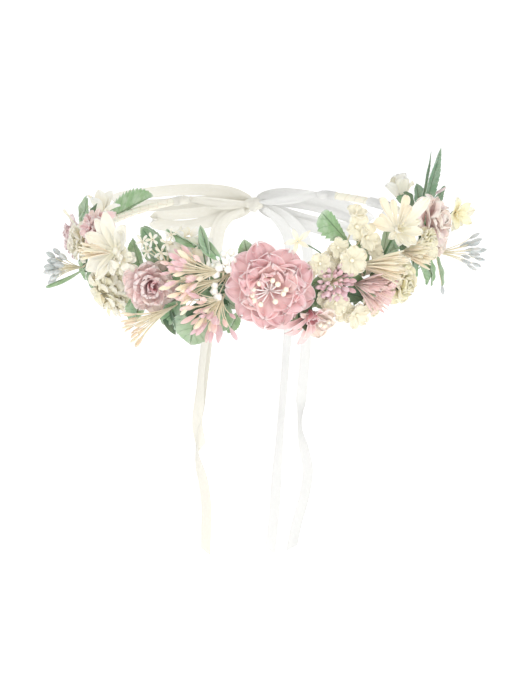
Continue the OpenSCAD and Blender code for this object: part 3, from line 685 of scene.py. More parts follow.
class Piece:
    """Gathers the sheets, threads and beads of one piece before they become one mesh."""

    def __init__(self, name, seed=1):
        self.name = name
        self.random = np.random.default_rng(seed)
        self.sizes = bpy.context.scene.crown_sizes
        self.points = []
        self.faces = []
        self.slots = []
        self.marks = {"along": [], "across": [], "tint": []}
        self.count = 0

    def add(self, points, faces, along, across, tint, finish):
        """Adds points with their marks, and faces that count from the first of them."""
        self.points.append(points)
        self.faces.extend([[int(i) + self.count for i in face] for face in faces])
        self.slots.extend([finish] * len(faces))
        self.marks["along"].append(along)
        self.marks["across"].append(across)
        self.marks["tint"].append(np.full(len(points), tint))
        self.count += len(points)

    def sheet(self, shape, place=None, tint=0.5, finish=0, thick=None):
        """A thin closed sheet of paper or ribbon with both faces and a rim."""
        grid, along, across = shape
        thick = self.sizes.petal_thickness / MM if thick is None else thick
        grid = placed(grid, place)
        rows, cols = grid.shape[:2]
        normal = np.cross(np.gradient(grid, axis=1), np.gradient(grid, axis=0))
        normal /= np.linalg.norm(normal, axis=2, keepdims=True) + 1e-9
        front = (grid + normal * thick / 2).reshape(-1, 3)
        back = (grid - normal * thick / 2).reshape(-1, 3)
        index = np.arange(rows * cols).reshape(rows, cols)
        quads = np.stack([index[:-1, :-1], index[:-1, 1:], index[1:, 1:], index[1:, :-1]], -1).reshape(-1, 4)
        loop = np.concatenate([index[0], index[1:, -1], index[-1, -2::-1], index[-2:0:-1, 0]])
        after = np.roll(loop, -1)
        size = rows * cols
        rim = np.stack([loop, loop + size, after + size, after], -1)
        faces = np.vstack([quads, quads[:, ::-1] + size, rim]).tolist()
        self.add(np.vstack([front, back]), faces, np.tile(along.ravel(), 2), np.tile(across.ravel(), 2),
                 tint, finish)

    def tube(self, path, radius, place=None, sides=8, tint=0.5, finish=0, lobes=0, depth=0.0, flat=1.0,
             along=None, ridge=None):
        """A closed tube along a path, round or lobed."""
        path = placed(np.asarray(path, float), place)
        count = len(path)
        radius = np.broadcast_to(np.asarray(radius, float), (count,))
        tangent = np.gradient(path, axis=0)
        tangent /= np.linalg.norm(tangent, axis=1, keepdims=True)
        side = np.cross(tangent[0], (0, 0, 1) if abs(tangent[0][2]) < 0.8 else (1, 0, 0))
        frames = []
        for t in tangent:
            side = side - t * (side @ t)
            side = side / np.linalg.norm(side)
            frames.append(side)
        side = np.array(frames)
        up = np.cross(tangent, side)
        angle = np.linspace(0, 2 * np.pi, sides, endpoint=False)
        shape = 1 + depth * np.cos(lobes * angle)
        ring = (side[:, None] * (np.cos(angle) * shape)[None, :, None]
                + up[:, None] * (np.sin(angle) * shape * flat)[None, :, None])
        width = radius[:, None] if ridge is None else radius[:, None] * ridge(count, angle)
        points = path[:, None] + ring * width[:, :, None]
        index = np.arange(count * sides).reshape(count, sides)
        over = np.roll(index, -1, axis=1)
        faces = np.stack([index[:-1], over[:-1], over[1:], index[1:]], -1).reshape(-1, 4).tolist()
        faces.append(index[0][::-1].tolist())
        faces.append(index[-1].tolist())
        marks = np.linspace(0, 1, count) if along is None else along
        self.add(points.reshape(-1, 3), faces, np.repeat(marks, sides),
                 np.tile(angle / np.pi - 1, count), tint, finish)

    def bead(self, centre, radius, place=None, tint=0.5, finish=0, tall=1.0, lobes=0, depth=0.0):
        """A round bead, or a lobed one."""
        a = np.linspace(0.12, np.pi - 0.12, 8)
        path = np.array(centre, float) + np.stack([0 * a, 0 * a, -radius * tall * np.cos(a)], -1)
        self.tube(path, radius * np.sin(a), place, 10, tint, finish, lobes, depth)

    def bud(self, length, width, place, tint=0.5, finish=0, lobes=3, depth=0.2, flat=0.8, bend=0.0,
            full=0.75):
        """A rolled paper bud standing on the origin along +Z, its widest part past its middle."""
        t = np.linspace(0.0, 1, 9)
        profile = width / 2 * (0.16 + 0.84 * np.sin(np.pi * (0.04 + 0.93 * t) ** (1 / full)) ** 0.8)
        profile[-1] *= 0.55
        path = np.stack([bend * length * t ** 2, 0 * t, length * t], -1)
        self.tube(path, profile, place, 9, tint, finish, lobes, depth, flat)

    def petals(self, place, count, length, width, start=0.0, hub=2.0, lift=0.0, vary=0.08, jitter=5.0,
               tint=(0.2, 0.8), finish=0, rise=(20, 25, 30), step=None, **shape):
        """A ring of petals round +Z."""
        step = 360 / count if step is None else step
        for i in range(count):
            grow = 1 + vary * self.random.uniform(-1, 1)
            wide = 1 + vary * self.random.uniform(-1, 1)
            open_by = self.random.uniform(-1, 1) * vary * 60
            angles = tuple(r + open_by for r in rise)
            petal = petal_shape(self.random, length * grow, width * wide, rise=angles, **shape)
            m = (place @ turned(start + i * step + self.random.uniform(-jitter, jitter))
                 @ shift(0, hub, lift) @ turned(0, 0, self.random.uniform(-jitter, jitter)))
            self.sheet(petal, m, self.random.uniform(*tint), finish)

    def leaf(self, place, length, width, tint=0.3, finish=0, **shape):
        """One leaf along the place's +Y."""
        self.sheet(leaf_shape(self.random, length, width, **shape), place, tint, finish,
                   self.sizes.leaf_thickness / MM)

    def stem(self, place, angle, finish, width=None, base=(0, 0, 0)):
        """A wire stem from inside the tape, at an angle round the ring, to a flower's back."""
        end = np.array((place @ Vector(base)))
        start = np.array(ring_spot(angle, RING_R, 0))
        middle = (start * 0.55 + end * 0.45) + np.array((0, 0, 0.3))
        width = self.sizes.stem_width / MM if width is None else width
        self.tube(bent_line(start, middle, end, 7), width / 2, None, 7, 0.5, finish)

    def calyx(self, place, width, depth, finish):
        """The green cup behind a flower."""
        t = np.linspace(0, 1, 7)
        path = np.stack([0 * t, 0 * t, -depth * (1 - t)], -1)
        self.tube(path, width / 2 * (0.25 + 0.75 * t ** 0.7), place, 12, 0.4, finish, 5, 0.08)

    def build(self, finishes, body, replaces=()):
        """Makes the mesh and gives it its finishes; a piece given one body's name rides on that body, and one
        given a tuple of bodies is left unparented.
        """
        mesh = bpy.data.meshes.new(self.name)
        mesh.from_pydata((np.concatenate(self.points) * MM).tolist(), [], self.faces)
        for name, parts in self.marks.items():
            attribute = mesh.attributes.new(name, "FLOAT", "POINT")
            attribute.data.foreach_set("value", np.concatenate(parts).astype(np.float32))
        for finish in finishes:
            mesh.materials.append(FINISHES[finish])
        mesh.polygons.foreach_set("material_index", self.slots)
        mesh.polygons.foreach_set("use_smooth", [True] * len(self.faces))
        mesh.set_sharp_from_angle(angle=math.radians(52))
        mesh.update()
        made = bpy.data.objects.new(self.name, mesh)
        bpy.context.scene.collection.objects.link(made)
        if isinstance(body, str):
            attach(made, body)
        else:
            body[2] * MM
            body[3] * MM
            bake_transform(made)
        if replaces:
            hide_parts(*replaces)
        return made


def ribbon_shape(route, width, across_start, across_end, reach, twists=(), curl=0.1, pinch=(0.0, 0.0),
                 slant=0.0, cols=9, step=1.5):
    """A ribbon along a route, and the smooth line it follows.

    Its width turns from across_start to across_end within reach millimetres. Each twist is
    (place along as a share, length as a share, degrees). pinch narrows it near its two ends."""
    path = smooth_path(route, step)
    lengths = np.concatenate([[0], np.cumsum(np.linalg.norm(np.diff(path, axis=0), axis=1))])
    share = lengths / lengths[-1]
    tangent = np.gradient(path, axis=0)
    tangent /= np.linalg.norm(tangent, axis=1, keepdims=True)
    blend = np.clip(lengths / reach, 0, 1)[:, None]
    blend = blend * blend * (3 - 2 * blend)
    wide = np.array(across_start, float) * (1 - blend) + np.array(across_end, float) * blend
    wide -= tangent * np.sum(wide * tangent, axis=1, keepdims=True)
    wide /= np.linalg.norm(wide, axis=1, keepdims=True)
    face = np.cross(tangent, wide)
    turn = np.zeros(len(path))
    for at, spread, degrees in twists:
        turn += math.radians(degrees) / (1 + np.exp(-(share - at) / (spread / 6)))
    turn = turn[:, None]
    wide, face = wide * np.cos(turn) + face * np.sin(turn), face * np.cos(turn) - wide * np.sin(turn)
    s = np.linspace(-1, 1, cols)
    near = 1 - pinch[0] * np.exp(-(lengths / 9) ** 2) - pinch[1] * np.exp(-((lengths[-1] - lengths) / 9) ** 2)
    half = (width / 2 * near)[:, None, None]
    bow = (curl + 0.5 * (1 - near))[:, None, None] * (s ** 2 - 0.4)[None, :, None]
    grid = path[:, None] + wide[:, None] * half * s[None, :, None] + face[:, None] * half * bow
    cut = np.clip((lengths - (lengths[-1] - 12)) / 12, 0, 1)[:, None, None]
    grid = grid + tangent[:, None] * slant * cut * s[None, :, None]
    along = np.repeat((lengths / 100)[:, None], cols, 1)
    across = np.repeat(s[None, :], len(path), 0)
    return (grid, along, across), path


def wound_turn(centre, tangent, radius, around, drift, half_width, cols, ripple=0.0):
    """One turn of ribbon round a wire, drifting along it, its edges lifted by ripple."""
    out = np.array(tangent.cross(Vector((0, 0, 1))))
    lengthwise = np.array(tangent)
    path = (np.array(centre) + np.outer(radius * np.cos(around), out)
            + np.outer(radius * np.sin(around), (0, 0, 1)) + np.outer(drift, lengthwise))
    s = np.linspace(-1, 1, cols)
    lift = np.broadcast_to(ripple, around.shape)[:, None, None] * (s ** 2)[None, :, None] * out
    grid = path[:, None] + lengthwise * s[None, :, None] * half_width + lift
    return grid, np.repeat((around / 12)[:, None], cols, 1), np.repeat(s[None], len(around), 0)


def spray_direction(random, index, count, open_angle, wobble=5.0):
    """Where one stem of a spray points, round +Z."""
    turn = index * GOLDEN + random.uniform(-wobble, wobble)
    lean = open_angle * math.sqrt((index + 0.5) / count) + random.uniform(-wobble, wobble) * 0.5
    return Matrix.Rotation(math.radians(turn), 4, "Z") @ Matrix.Rotation(math.radians(lean), 4, "Y")


def bud_spray(piece, place, count, open_angle, reach, bud_size, stem_finish, bud_finish, thread=0.55,
              tints=(0, 1), vary=0.15, lobes=3, full=0.75):
    """Stems opening round +Z, each ending in a rolled bud."""
    for i in range(count):
        aim = spray_direction(piece.random, i, count, open_angle)
        length = reach * (1 + piece.random.uniform(-vary, vary))
        end = np.array(aim @ Vector((0, 0, length)))
        middle = np.array([end[0] * 0.25, end[1] * 0.25, end[2] * 0.6])
        path = bent_line((0, 0, 0), middle, end, 8)
        piece.tube(path, np.linspace(thread, thread * 0.8, 8) / 2, place, 6, 0.5, stem_finish)
        direction = Vector(path[-1] - path[-2])
        stand = (place @ Matrix.Translation(end) @ direction.to_track_quat("Z", "Y").to_matrix().to_4x4()
                 @ turned(piece.random.uniform(0, 360)))
        grow = 1 + piece.random.uniform(-vary, vary)
        piece.bud(bud_size[0] * grow, bud_size[1] * grow, stand @ shift(0, 0, -0.3),
                  piece.random.uniform(*tints),
                  bud_finish, lobes, 0.22, 0.75, piece.random.uniform(-0.12, 0.12), full)


def rosette(piece, place, width, finish=0, frill=0.0, heart=1.0, tint=(0.2, 0.8), ruffle=0.06):
    """A rose: a wound heart and rings of petals that open outwards."""
    r = width / 2
    rings = [
        (3, 0.50, 0.62, 0.05, 0.10, (86, 84, 66), 180),
        (4, 0.56, 0.72, 0.12, 0.08, (80, 70, 34), 120),
        (5, 0.66, 0.80, 0.18, 0.05, (66, 50, 10), 80),
        (5, 0.76, 0.90, 0.22, 0.02, (46, 32, -6), 60),
        (6, 0.84, 0.92, 0.22, 0.0, (20, 10, -20), 45),
    ]
    for i, (count, length, wide, hub, lift, rise, wrap) in enumerate(rings):
        piece.petals(place, count, length * r * heart, wide * r, i * 37, hub * r, lift * r * 3, 0.1, 6,
                     tint, finish, rise, wrap=wrap, ruffle=ruffle * r, waves=1.6, frill=frill, notch=0.04,
                     crumple=0.03 * r, base=0.4, rows=11, cols=9)


def carnation(piece, place, width, finish=0, rings=5, count=10, frill=0.06, tint=(0.2, 0.8),
              petal_width=0.34):
    """A full flower of many frilled petals."""
    r = width / 2
    for i in range(rings):
        share = i / (rings - 1)
        lean = 82 - 78 * share
        piece.petals(
            place, count - (rings - 1 - i), r * (0.62 + 0.34 * share),
            r * petal_width * (0.8 + 0.5 * share), i * 23,
            r * (0.04 + 0.14 * share), r * 0.34 * (1 - share), 0.14, 9, tint, finish,
            (lean, lean - 14, lean - 52), wrap=50, ruffle=0.08 * r, waves=2.2, frill=frill, frills=5,
            notch=0.06, blunt=0.5, crumple=0.02 * r, base=0.35, rows=9, cols=8)


def puff(piece, place, width, depth, count, size, finish=0, tint=(0.2, 0.8)):
    """Small round petals that open all over a dome, like many tiny florets."""
    piece.bead((0, 0, 0), width * 0.32, place, tint[0], finish, depth / width)
    for i in range(count):
        lean = 92 * math.sqrt((i + 0.5) / count)
        out = math.sin(math.radians(lean)) * (width / 2 - size * 0.5)
        up = math.cos(math.radians(lean)) * depth * 0.7
        stand = (place @ turned(i * GOLDEN) @ shift(0, out, up) @ turned(0, -lean * 0.8)
                 @ turned(piece.random.uniform(-80, 80), 0, piece.random.uniform(-14, 14)))
        grow = piece.random.uniform(0.85, 1.15)
        petal = petal_shape(
            piece.random, size * grow, size * grow, rise=(56, 34, -16), wrap=40, ruffle=0.3, waves=1.6,
            base=0.4, rows=8, cols=7, crumple=0.12, notch=0.08)
        piece.sheet(petal, stand, piece.random.uniform(*tint), finish)


def floret(piece, place, width, finish=0, bead_finish=1, petals=5, rise=(32, 18, 8)):
    """A small flat flower of notched petals with a bead at its heart and a short throat behind."""
    r = width / 2
    piece.petals(place, petals, r * 0.98, r * 0.96, piece.random.uniform(0, 70), r * 0.1, 0, 0.07, 4,
                 (0.2, 0.8), finish, rise, wrap=50, ruffle=0.1 * r, waves=2.6, notch=0.14, frill=0.045,
                 frills=5, crumple=0.03 * r, base=0.3, skew=1.9, rows=10, cols=11)
    piece.bead((0, 0, r * 0.12), r * 0.15, place, 0.5, bead_finish, 1.1)
    t = np.linspace(0, 1, 5)
    piece.tube(np.stack([0 * t, 0 * t, -r * 0.7 * (1 - t)], -1), r * (0.08 + 0.12 * t), place, 8, 0.2, finish)


def star_flower(piece, place, petals, length, width, rise, finish=0, hub=1.6, tint=(0.2, 0.8), start=0.0,
                fold=0.25, ruffle=0.3, blunt=0.8, skew=1.3, vary=0.1, lift=0.0, jitter=6):
    """Pointed petals with a lengthwise crease."""
    piece.petals(place, petals, length, width, start, hub, lift, vary, jitter, tint, finish, rise,
                 wrap=20, fold=fold, ruffle=ruffle, waves=1.3, crumple=0.25, blunt=blunt, skew=skew,
                 base=0.35, rows=15, cols=11)


def brush(piece, place, count, length, spread, finish=0, width=1.5, flat=0.35, tint=(0.1, 0.9), curve=8):
    """Flattened filaments fanning out along +Z, each a narrow strip that widens to its tip."""
    for i in range(count):
        turn = piece.random.uniform(0, 360)
        lean = spread * math.sqrt((i + 0.5) / count)
        x, y = math.cos(math.radians(turn)) * lean, math.sin(math.radians(turn)) * lean * flat
        size = length * piece.random.uniform(0.7, 1.12)
        shape = petal_shape(piece.random, size, width * piece.random.uniform(0.8, 1.3), base=0.42, blunt=0.55,
                            skew=3.2, rise=(90 - curve, 90, 90 + curve), wrap=110, crumple=0.25,
                            notch=0.03, sway=piece.random.uniform(-0.08, 0.08), rows=10, cols=5)
        stand = (place @ Matrix.Rotation(math.radians(x), 4, "Y") @ Matrix.Rotation(math.radians(-y), 4, "X")
                 @ turned(piece.random.uniform(-60, 60)))
        piece.sheet(shape, stand, piece.random.uniform(*tint), finish, 0.3)


# ---- stage ----

class CROWN_OT_stage(bpy.types.Operator):
    """Set up the camera, the pale floor and the soft studio light."""

    bl_idname = "crown.stage"
    bl_label = "Stage"

    def execute(self, context):
        stage = context.scene.crown_stage
        self.add_camera(context.scene, stage)
        self.add_floor(context.scene, stage)
        self.add_light(context.scene, "key_light", (-0.5, -1.3, 1.5), 1.3, stage.key_power)
        self.add_light(context.scene, "fill_light", (0.5, -1.5, 0.2), 1.2, stage.fill_power)
        self.add_room(context.scene, stage)
        context.scene.view_settings.view_transform = "Standard"
        return {"FINISHED"}

    @staticmethod
    def add_camera(scene, stage):
        """Stands the camera in front of the ring, looking a little below its centre."""
        tilt = stage.elevation
        position = Vector((0, -math.cos(tilt), math.sin(tilt))) * stage.distance
        level = Vector((1, 0, 0))
        upright = Vector((0, math.sin(tilt), math.cos(tilt)))
        ahead = -position.normalized()
        up = upright * math.cos(stage.roll) + level * math.sin(stage.roll)
        right = level * math.cos(stage.roll) - upright * math.sin(stage.roll)
        ahead, up = (ahead * math.cos(stage.drop) - up * math.sin(stage.drop),
                     up * math.cos(stage.drop) + ahead * math.sin(stage.drop))
        ahead = (ahead - right * math.tan(stage.drift)).normalized()
        right = ahead.cross(up).normalized()
        up = right.cross(ahead)
        data = bpy.data.cameras.new("camera")
        data.lens = stage.lens
        data.sensor_width = 36
        data.clip_start = 0.02
        camera = bpy.data.objects.new("camera", data)
        scene.collection.objects.link(camera)
        camera.matrix_world = Matrix((
            (right.x, up.x, -ahead.x, position.x),
            (right.y, up.y, -ahead.y, position.y),
            (right.z, up.z, -ahead.z, position.z),
            (0, 0, 0, 1)))
        scene.camera = camera

    @staticmethod
    def add_floor(scene, stage):
        """Lays a wide pale floor under the ribbon ends."""
        height = cad_bounds[0][2] - stage.floor_gap
        reach = 12.0
        mesh = bpy.data.meshes.new("floor")
        mesh.from_pydata(
            [(-reach, -reach, height), (reach, -reach, height), (reach, reach, height),
             (-reach, reach, height)],
            [], [(0, 1, 2, 3)])
        paint = Paint("floor")
        clouds = paint.noise(paint.place(), 3.0, 2.0)
        colour = paint.mix(clouds, (0.93, 0.93, 0.93), (0.95, 0.95, 0.95))
        shader = paint.node("ShaderNodeBsdfPrincipled", {}, {
            "Base Color": colour, "Roughness": 0.9, "Emission Color": (1, 1, 1, 1),
            "Emission Strength": 0.35})
        paint.node_output(shader)
        mesh.materials.append(paint.material)
        floor = bpy.data.objects.new("floor", mesh)
        scene.collection.objects.link(floor)

    @staticmethod
    def add_light(scene, name, position, size, power):
        """Adds one large square light aimed at the crown."""
        data = bpy.data.lights.new(name, "AREA")
        data.size = size
        data.energy = power
        light = bpy.data.objects.new(name, data)
        scene.collection.objects.link(light)
        light.location = position
        light.rotation_euler = (-Vector(position)).to_track_quat("-Z", "Y").to_euler()

    @staticmethod
    def add_room(scene, stage):
        """Surrounds the crown with plain white."""
        world = bpy.data.worlds.new("room")
        world.use_nodes = True
        background = world.node_tree.nodes["Background"]
        background.inputs[0].default_value = (1, 1, 1, 1)
        background.inputs[1].default_value = stage.sky
        scene.world = world


# ---- ribbon ----

class CROWN_OT_tails(bpy.types.Operator):
    """Hang the four ribbon ends under the knot."""

    bl_idname = "crown.tails"
    bl_label = "Ribbon ends"

    def execute(self, context):
        sizes = context.scene.crown_sizes
        tails = [
            ("ribbon_left_short", "tail_left_short", TAIL_LEFT_SHORT, -1, "left_tails", 0.17, "warm_satin",
             [(0.5, 0.2, 35), (0.8, 0.15, -50)], 3.0),
            ("ribbon_left_long", "tail_left_long", TAIL_LEFT_LONG, -1, "left_tails", 0.245, "warm_satin",
             [(0.62, 0.1, 70), (0.74, 0.12, -75)], -2.5),
            ("ribbon_right_inner", "tail_right_inner", TAIL_RIGHT_INNER, 1, "right_tails", 0.24, "satin",
             [(0.35, 0.2, -30), (0.75, 0.2, 45)], 2.5),
            ("ribbon_right_outer", "tail_right_outer", TAIL_RIGHT_OUTER, 1, "right_tails", 0.25, "satin",
             [(0.58, 0.08, 85), (0.68, 0.08, -60)], -3.0),
        ]
        for i, (name, node, route, side, body, length, finish, twists, slant) in enumerate(tails):
            piece = Piece(name, 10 + i)
            shape, path = ribbon_shape(
                route, sizes.ribbon_width / MM, (0, 0, 1), (side, 0.25, 0), 22, twists, 0.12, (0.45, 0),
                slant)
            piece.sheet(shape, None, 0.2 + 0.2 * i, 0, sizes.ribbon_thickness / MM)
            made = piece.build([finish], body, [node])
            points = [tuple(p) for p in (path * MM).tolist()]
        return {"FINISHED"}


class CROWN_OT_bow(bpy.types.Operator):
    """Tie the knot, its loops and the ribbon that runs to the ring's ends."""

    bl_idname = "crown.bow"
    bl_label = "Bow"

    def execute(self, context):
        sizes = context.scene.crown_sizes
        width = sizes.ribbon_width / MM
        thick = sizes.ribbon_thickness / MM
        self.add_knot(width, thick)
        for i, (node, route) in enumerate(LOOP_ROUTES.items()):
            piece = Piece("bow_ribbon_" + node[-1], 30 + i)
            twists = [(0.25, 0.3, (-18, 22, 16, -20)[i]), (0.75, 0.3, (14, -18, -22, 14)[i])]
            side = 1 if route[0][0] > 0 else -1
            start = (side * 1.0, route[0][1] - (3, 3, 3, 1)[i], KNOT.z + (2.0 if i % 2 == 0 else -0.4))
            finish_at = (side * 1.5, route[-1][1] - 4, KNOT.z)
            clear = (0, 0, 0, 0.9)[i]
            moved = [(x, y + clear, z) for x, y, z in route]
            shape, _ = ribbon_shape(
                [start, *moved, finish_at], width * (1.1, 1.1, 1.1, 1.0)[i], (0, 0, 1), (0, 0.1, 1), 10,
                twists, 0.22, (0.66, 0.66), 0.0)
            piece.sheet(shape, None, 0.15 + 0.2 * i, 0, thick)
            piece.build(["warm_satin" if i < 2 else "satin"], "crown", [node])
        self.add_strand(-1, "left", width, thick, "warm_satin")
        self.add_strand(1, "right", width, thick, "satin")
        self.add_wrap(width, thick)
        return {"FINISHED"}

    @staticmethod
    def add_knot(width, thick):
        """The knot: one tight turn over the crossing ribbons, with folds on both sides."""
        piece = Piece("knot_ribbon", 21)
        place = shift(KNOT.x, KNOT.y, KNOT.z)
        t = np.linspace(0, 1, 13)
        barrel = np.stack([10.4 * (t - 0.5), 0.5 * np.sin(np.pi * t), 0.4 * np.sin(2 * np.pi * t)], -1)
        round_part = 4.2 * np.sin(np.pi * (0.13 + 0.74 * t)) ** 0.7
        piece.tube(barrel, round_part, place, 22, 0.3, 0, 7, 0.045, 0.86)
        for i, lean in enumerate((-16, 6, 20)):
            turn = np.linspace(0, 2 * np.pi, 30)
            r = 3.5 + 0.2 * i
            path = np.stack([0.9 * (i - 1) + 0.5 * np.sin(turn + i), r * np.cos(turn) * 0.9,
                             r * np.sin(turn)], -1)
            wide = np.repeat(np.array([[1.0, 0.0, 0.0]]), 30, 0)
            s = np.linspace(-1, 1, 7)
            outward = path / np.linalg.norm(path, axis=1, keepdims=True)
            bow = 0.5 * (1 - s ** 2)[None, :, None] * outward[:, None]
            grid = path[:, None] + wide[:, None] * s[None, :, None] * width * 0.27 + bow
            along = np.repeat((turn / 9)[:, None], 7, 1)
            across = np.repeat(s[None], 30, 0)
            piece.sheet((grid, along, across), place @ turned(0, 0, lean), 0.2 + 0.2 * i, 0, thick)
        piece.build(["warm_satin"], "crown", ["bow_knot"])

    @staticmethod
    def add_strand(side, word, width, thick, finish):
        """The stretched ribbon from an end loop to the knot, and its hitch round the loop."""
        eye = ring_spot(side * EYE_ANGLE, RING_R, 0)
        start = ring_spot(side * (EYE_ANGLE + 2.6), RING_R, 0)
        end = Vector((side * 1.5, KNOT.y - 1.5, KNOT.z + 1.0))
        route = []
        for share in np.linspace(0, 1, 7):
            p = start.lerp(end, share)
            route.append((p.x, p.y, p.z - 1.4 * math.sin(math.pi * share)))
        piece = Piece("strand_ribbon_" + word, 24 + side)
        for i, (lift, turn) in enumerate(((1.1, 14), (-1.0, -18))):
            moved = [(x, y + 0.7 * i, z + lift * math.sin(math.pi * n / 6))
                     for n, (x, y, z) in enumerate(route)]
            shape, _ = ribbon_shape(
                moved, width * (0.86 if side < 0 else 0.58), (0, 0.2, 1), (0, -0.2, 1), 20,
                [(0.5, 0.6, turn)], 0.3, (0.42, 0.5), 0.0)
            piece.sheet(shape, None, 0.3 + 0.3 * i, 0, thick)
        knot_side = Vector((end.x, end.y, end.z))
        piece.build([finish], (word + "_arm", "crown", start, knot_side), ["strand_" + word])

        hitch = Piece("hitch_ribbon_" + word, 27 + side)
        away = math.atan2(start.y - eye.y, start.x - eye.x)
        turn = np.linspace(away - 2.7, away + 2.7, 34)
        ring = np.stack([eye.x + EYE_R * np.cos(turn), eye.y + EYE_R * np.sin(turn), 0 * turn], -1)

        def wound(count, angle):
            """Ridges of ribbon wound slantwise round the wire loop."""
            rows = np.linspace(0, 6.0, count)[:, None]
            return 1 + 0.16 * ((rows + angle[None] / (2 * np.pi)) % 1.0)

        hitch.tube(ring, 1.55, None, 14, 0.4, 0, flat=1.15, ridge=wound)
        hitch.bead(tuple(eye), 2.3, None, 0.4, 0, 1.0)
        arm = ring_spot(side * (ARM_END + 0.3), RING_R, 0)
        tangent = (eye - arm).normalized()
        for i in range(3):
            centre = arm - tangent * (0.4 + 1.5 * i)
            around = np.linspace(0, 2 * np.pi, 25)
            shape = wound_turn(centre, tangent, TAPE_R + 0.55 - 0.12 * i, around, 0.5 * np.sin(around + i),
                               1.7, 5)
            hitch.sheet(shape, None, 0.3 + 0.2 * i, 0, thick)
        hitch.build([finish], word + "_arm", ["hitch_" + word])

    @staticmethod
    def add_wrap(width, thick):
        """The spare turns of ribbon wound round the right arm, with one loose fold."""
        piece = Piece("wrap_ribbon", 29)
        for i, angle in enumerate((125.2, 128.0, 131.0)):
            centre = ring_spot(angle, RING_R, 0)
            tangent = (ring_spot(angle + 1, RING_R, 0) - centre).normalized()
            around = np.linspace(0, 2 * np.pi, 29)
            shape = wound_turn(centre, tangent, TAPE_R + 0.7, around, 1.6 * around / math.pi - 1.6,
                               width * 0.42, 7, 0.25 * np.sin(3 * around + i))
            piece.sheet(shape, None, 0.2 + 0.25 * i, 0, thick)
        root = ring_spot(126, RING_R, 0)
        flap = [tuple(root + Vector(v)) for v in ((1.5, -1.5, 2.2), (2.2, -2.5, 0.5), (2.2, -3.0, -3.5),
                                                  (0.5, -2.8, -8), (-2, -2.4, -11))]
        shape, _ = ribbon_shape(flap, width, (0.75, 0.66, 0), (0.85, 0.5, 0), 8, [(0.5, 0.5, 25)], 0.3,
                                (0.2, 0), 2.0)
        piece.sheet(shape, None, 0.7, 0, thick)
        piece.build(["satin"], "right_arm", ["ribbon_wrap"])


class CROWN_OT_band(bpy.types.Operator):
    """Wind paper tape round the wire ring and its two bare arms."""

    bl_idname = "crown.band"
    bl_label = "Taped band"

    def execute(self, context):
        self.add_tape("tape_front", -ARM_ROOT + 3, ARM_ROOT - 3, 0.0, "crown")
        for side, word in ((-1, "left"), (1, "right")):
            before = ring_spot(side * (ARM_ROOT - 4.5), RING_R, 0)
            after = ring_spot(side * (ARM_ROOT + 4.5), RING_R, 0)
            self.add_tape("tape_" + word, side * (ARM_ROOT - 4), side * ARM_END, 0.14,
                          ("crown", word + "_arm", before, after))
        for node in ("wire_front", "wire_left", "wire_right"):
            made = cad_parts[node]
            made.data.materials.clear()
            made.data.materials.append(FINISHES["wire"])
        return {"FINISHED"}

    @staticmethod
    def add_tape(node, start, end, extra, body):
        """A crepe sleeve with a ridge at each overlap of the tape."""
        piece = Piece(node + "_crepe", 40 + len(node))
        count = int(abs(end - start) * 1.6)
        angles = np.linspace(start, end, count)
        path = np.array([ring_spot(a, RING_R, 0) for a in angles])
        turns = np.abs(angles - start) * math.pi / 180 * RING_R / 7.0
        wobble = piece.random.uniform(-0.06, 0.06, (count, 1))

        def lapped(rows, angle):
            """Each turn of tape is thickest where it covers the one before."""
            lap = (turns[:, None] + angle[None] / (2 * np.pi)) % 1.0
            crinkle = 0.02 * np.sin(5 * angle[None] + turns[:, None] * 9)
            return 1 + 0.13 * np.maximum(0, lap - 0.72) / 0.28 + wobble + crinkle

        piece.tube(path, TAPE_R - 0.12 + extra, None, 20, 0.5, 0, along=turns, ridge=lapped)
        piece.build(["tape"], body, [node])


# ---- flowers at the front ----

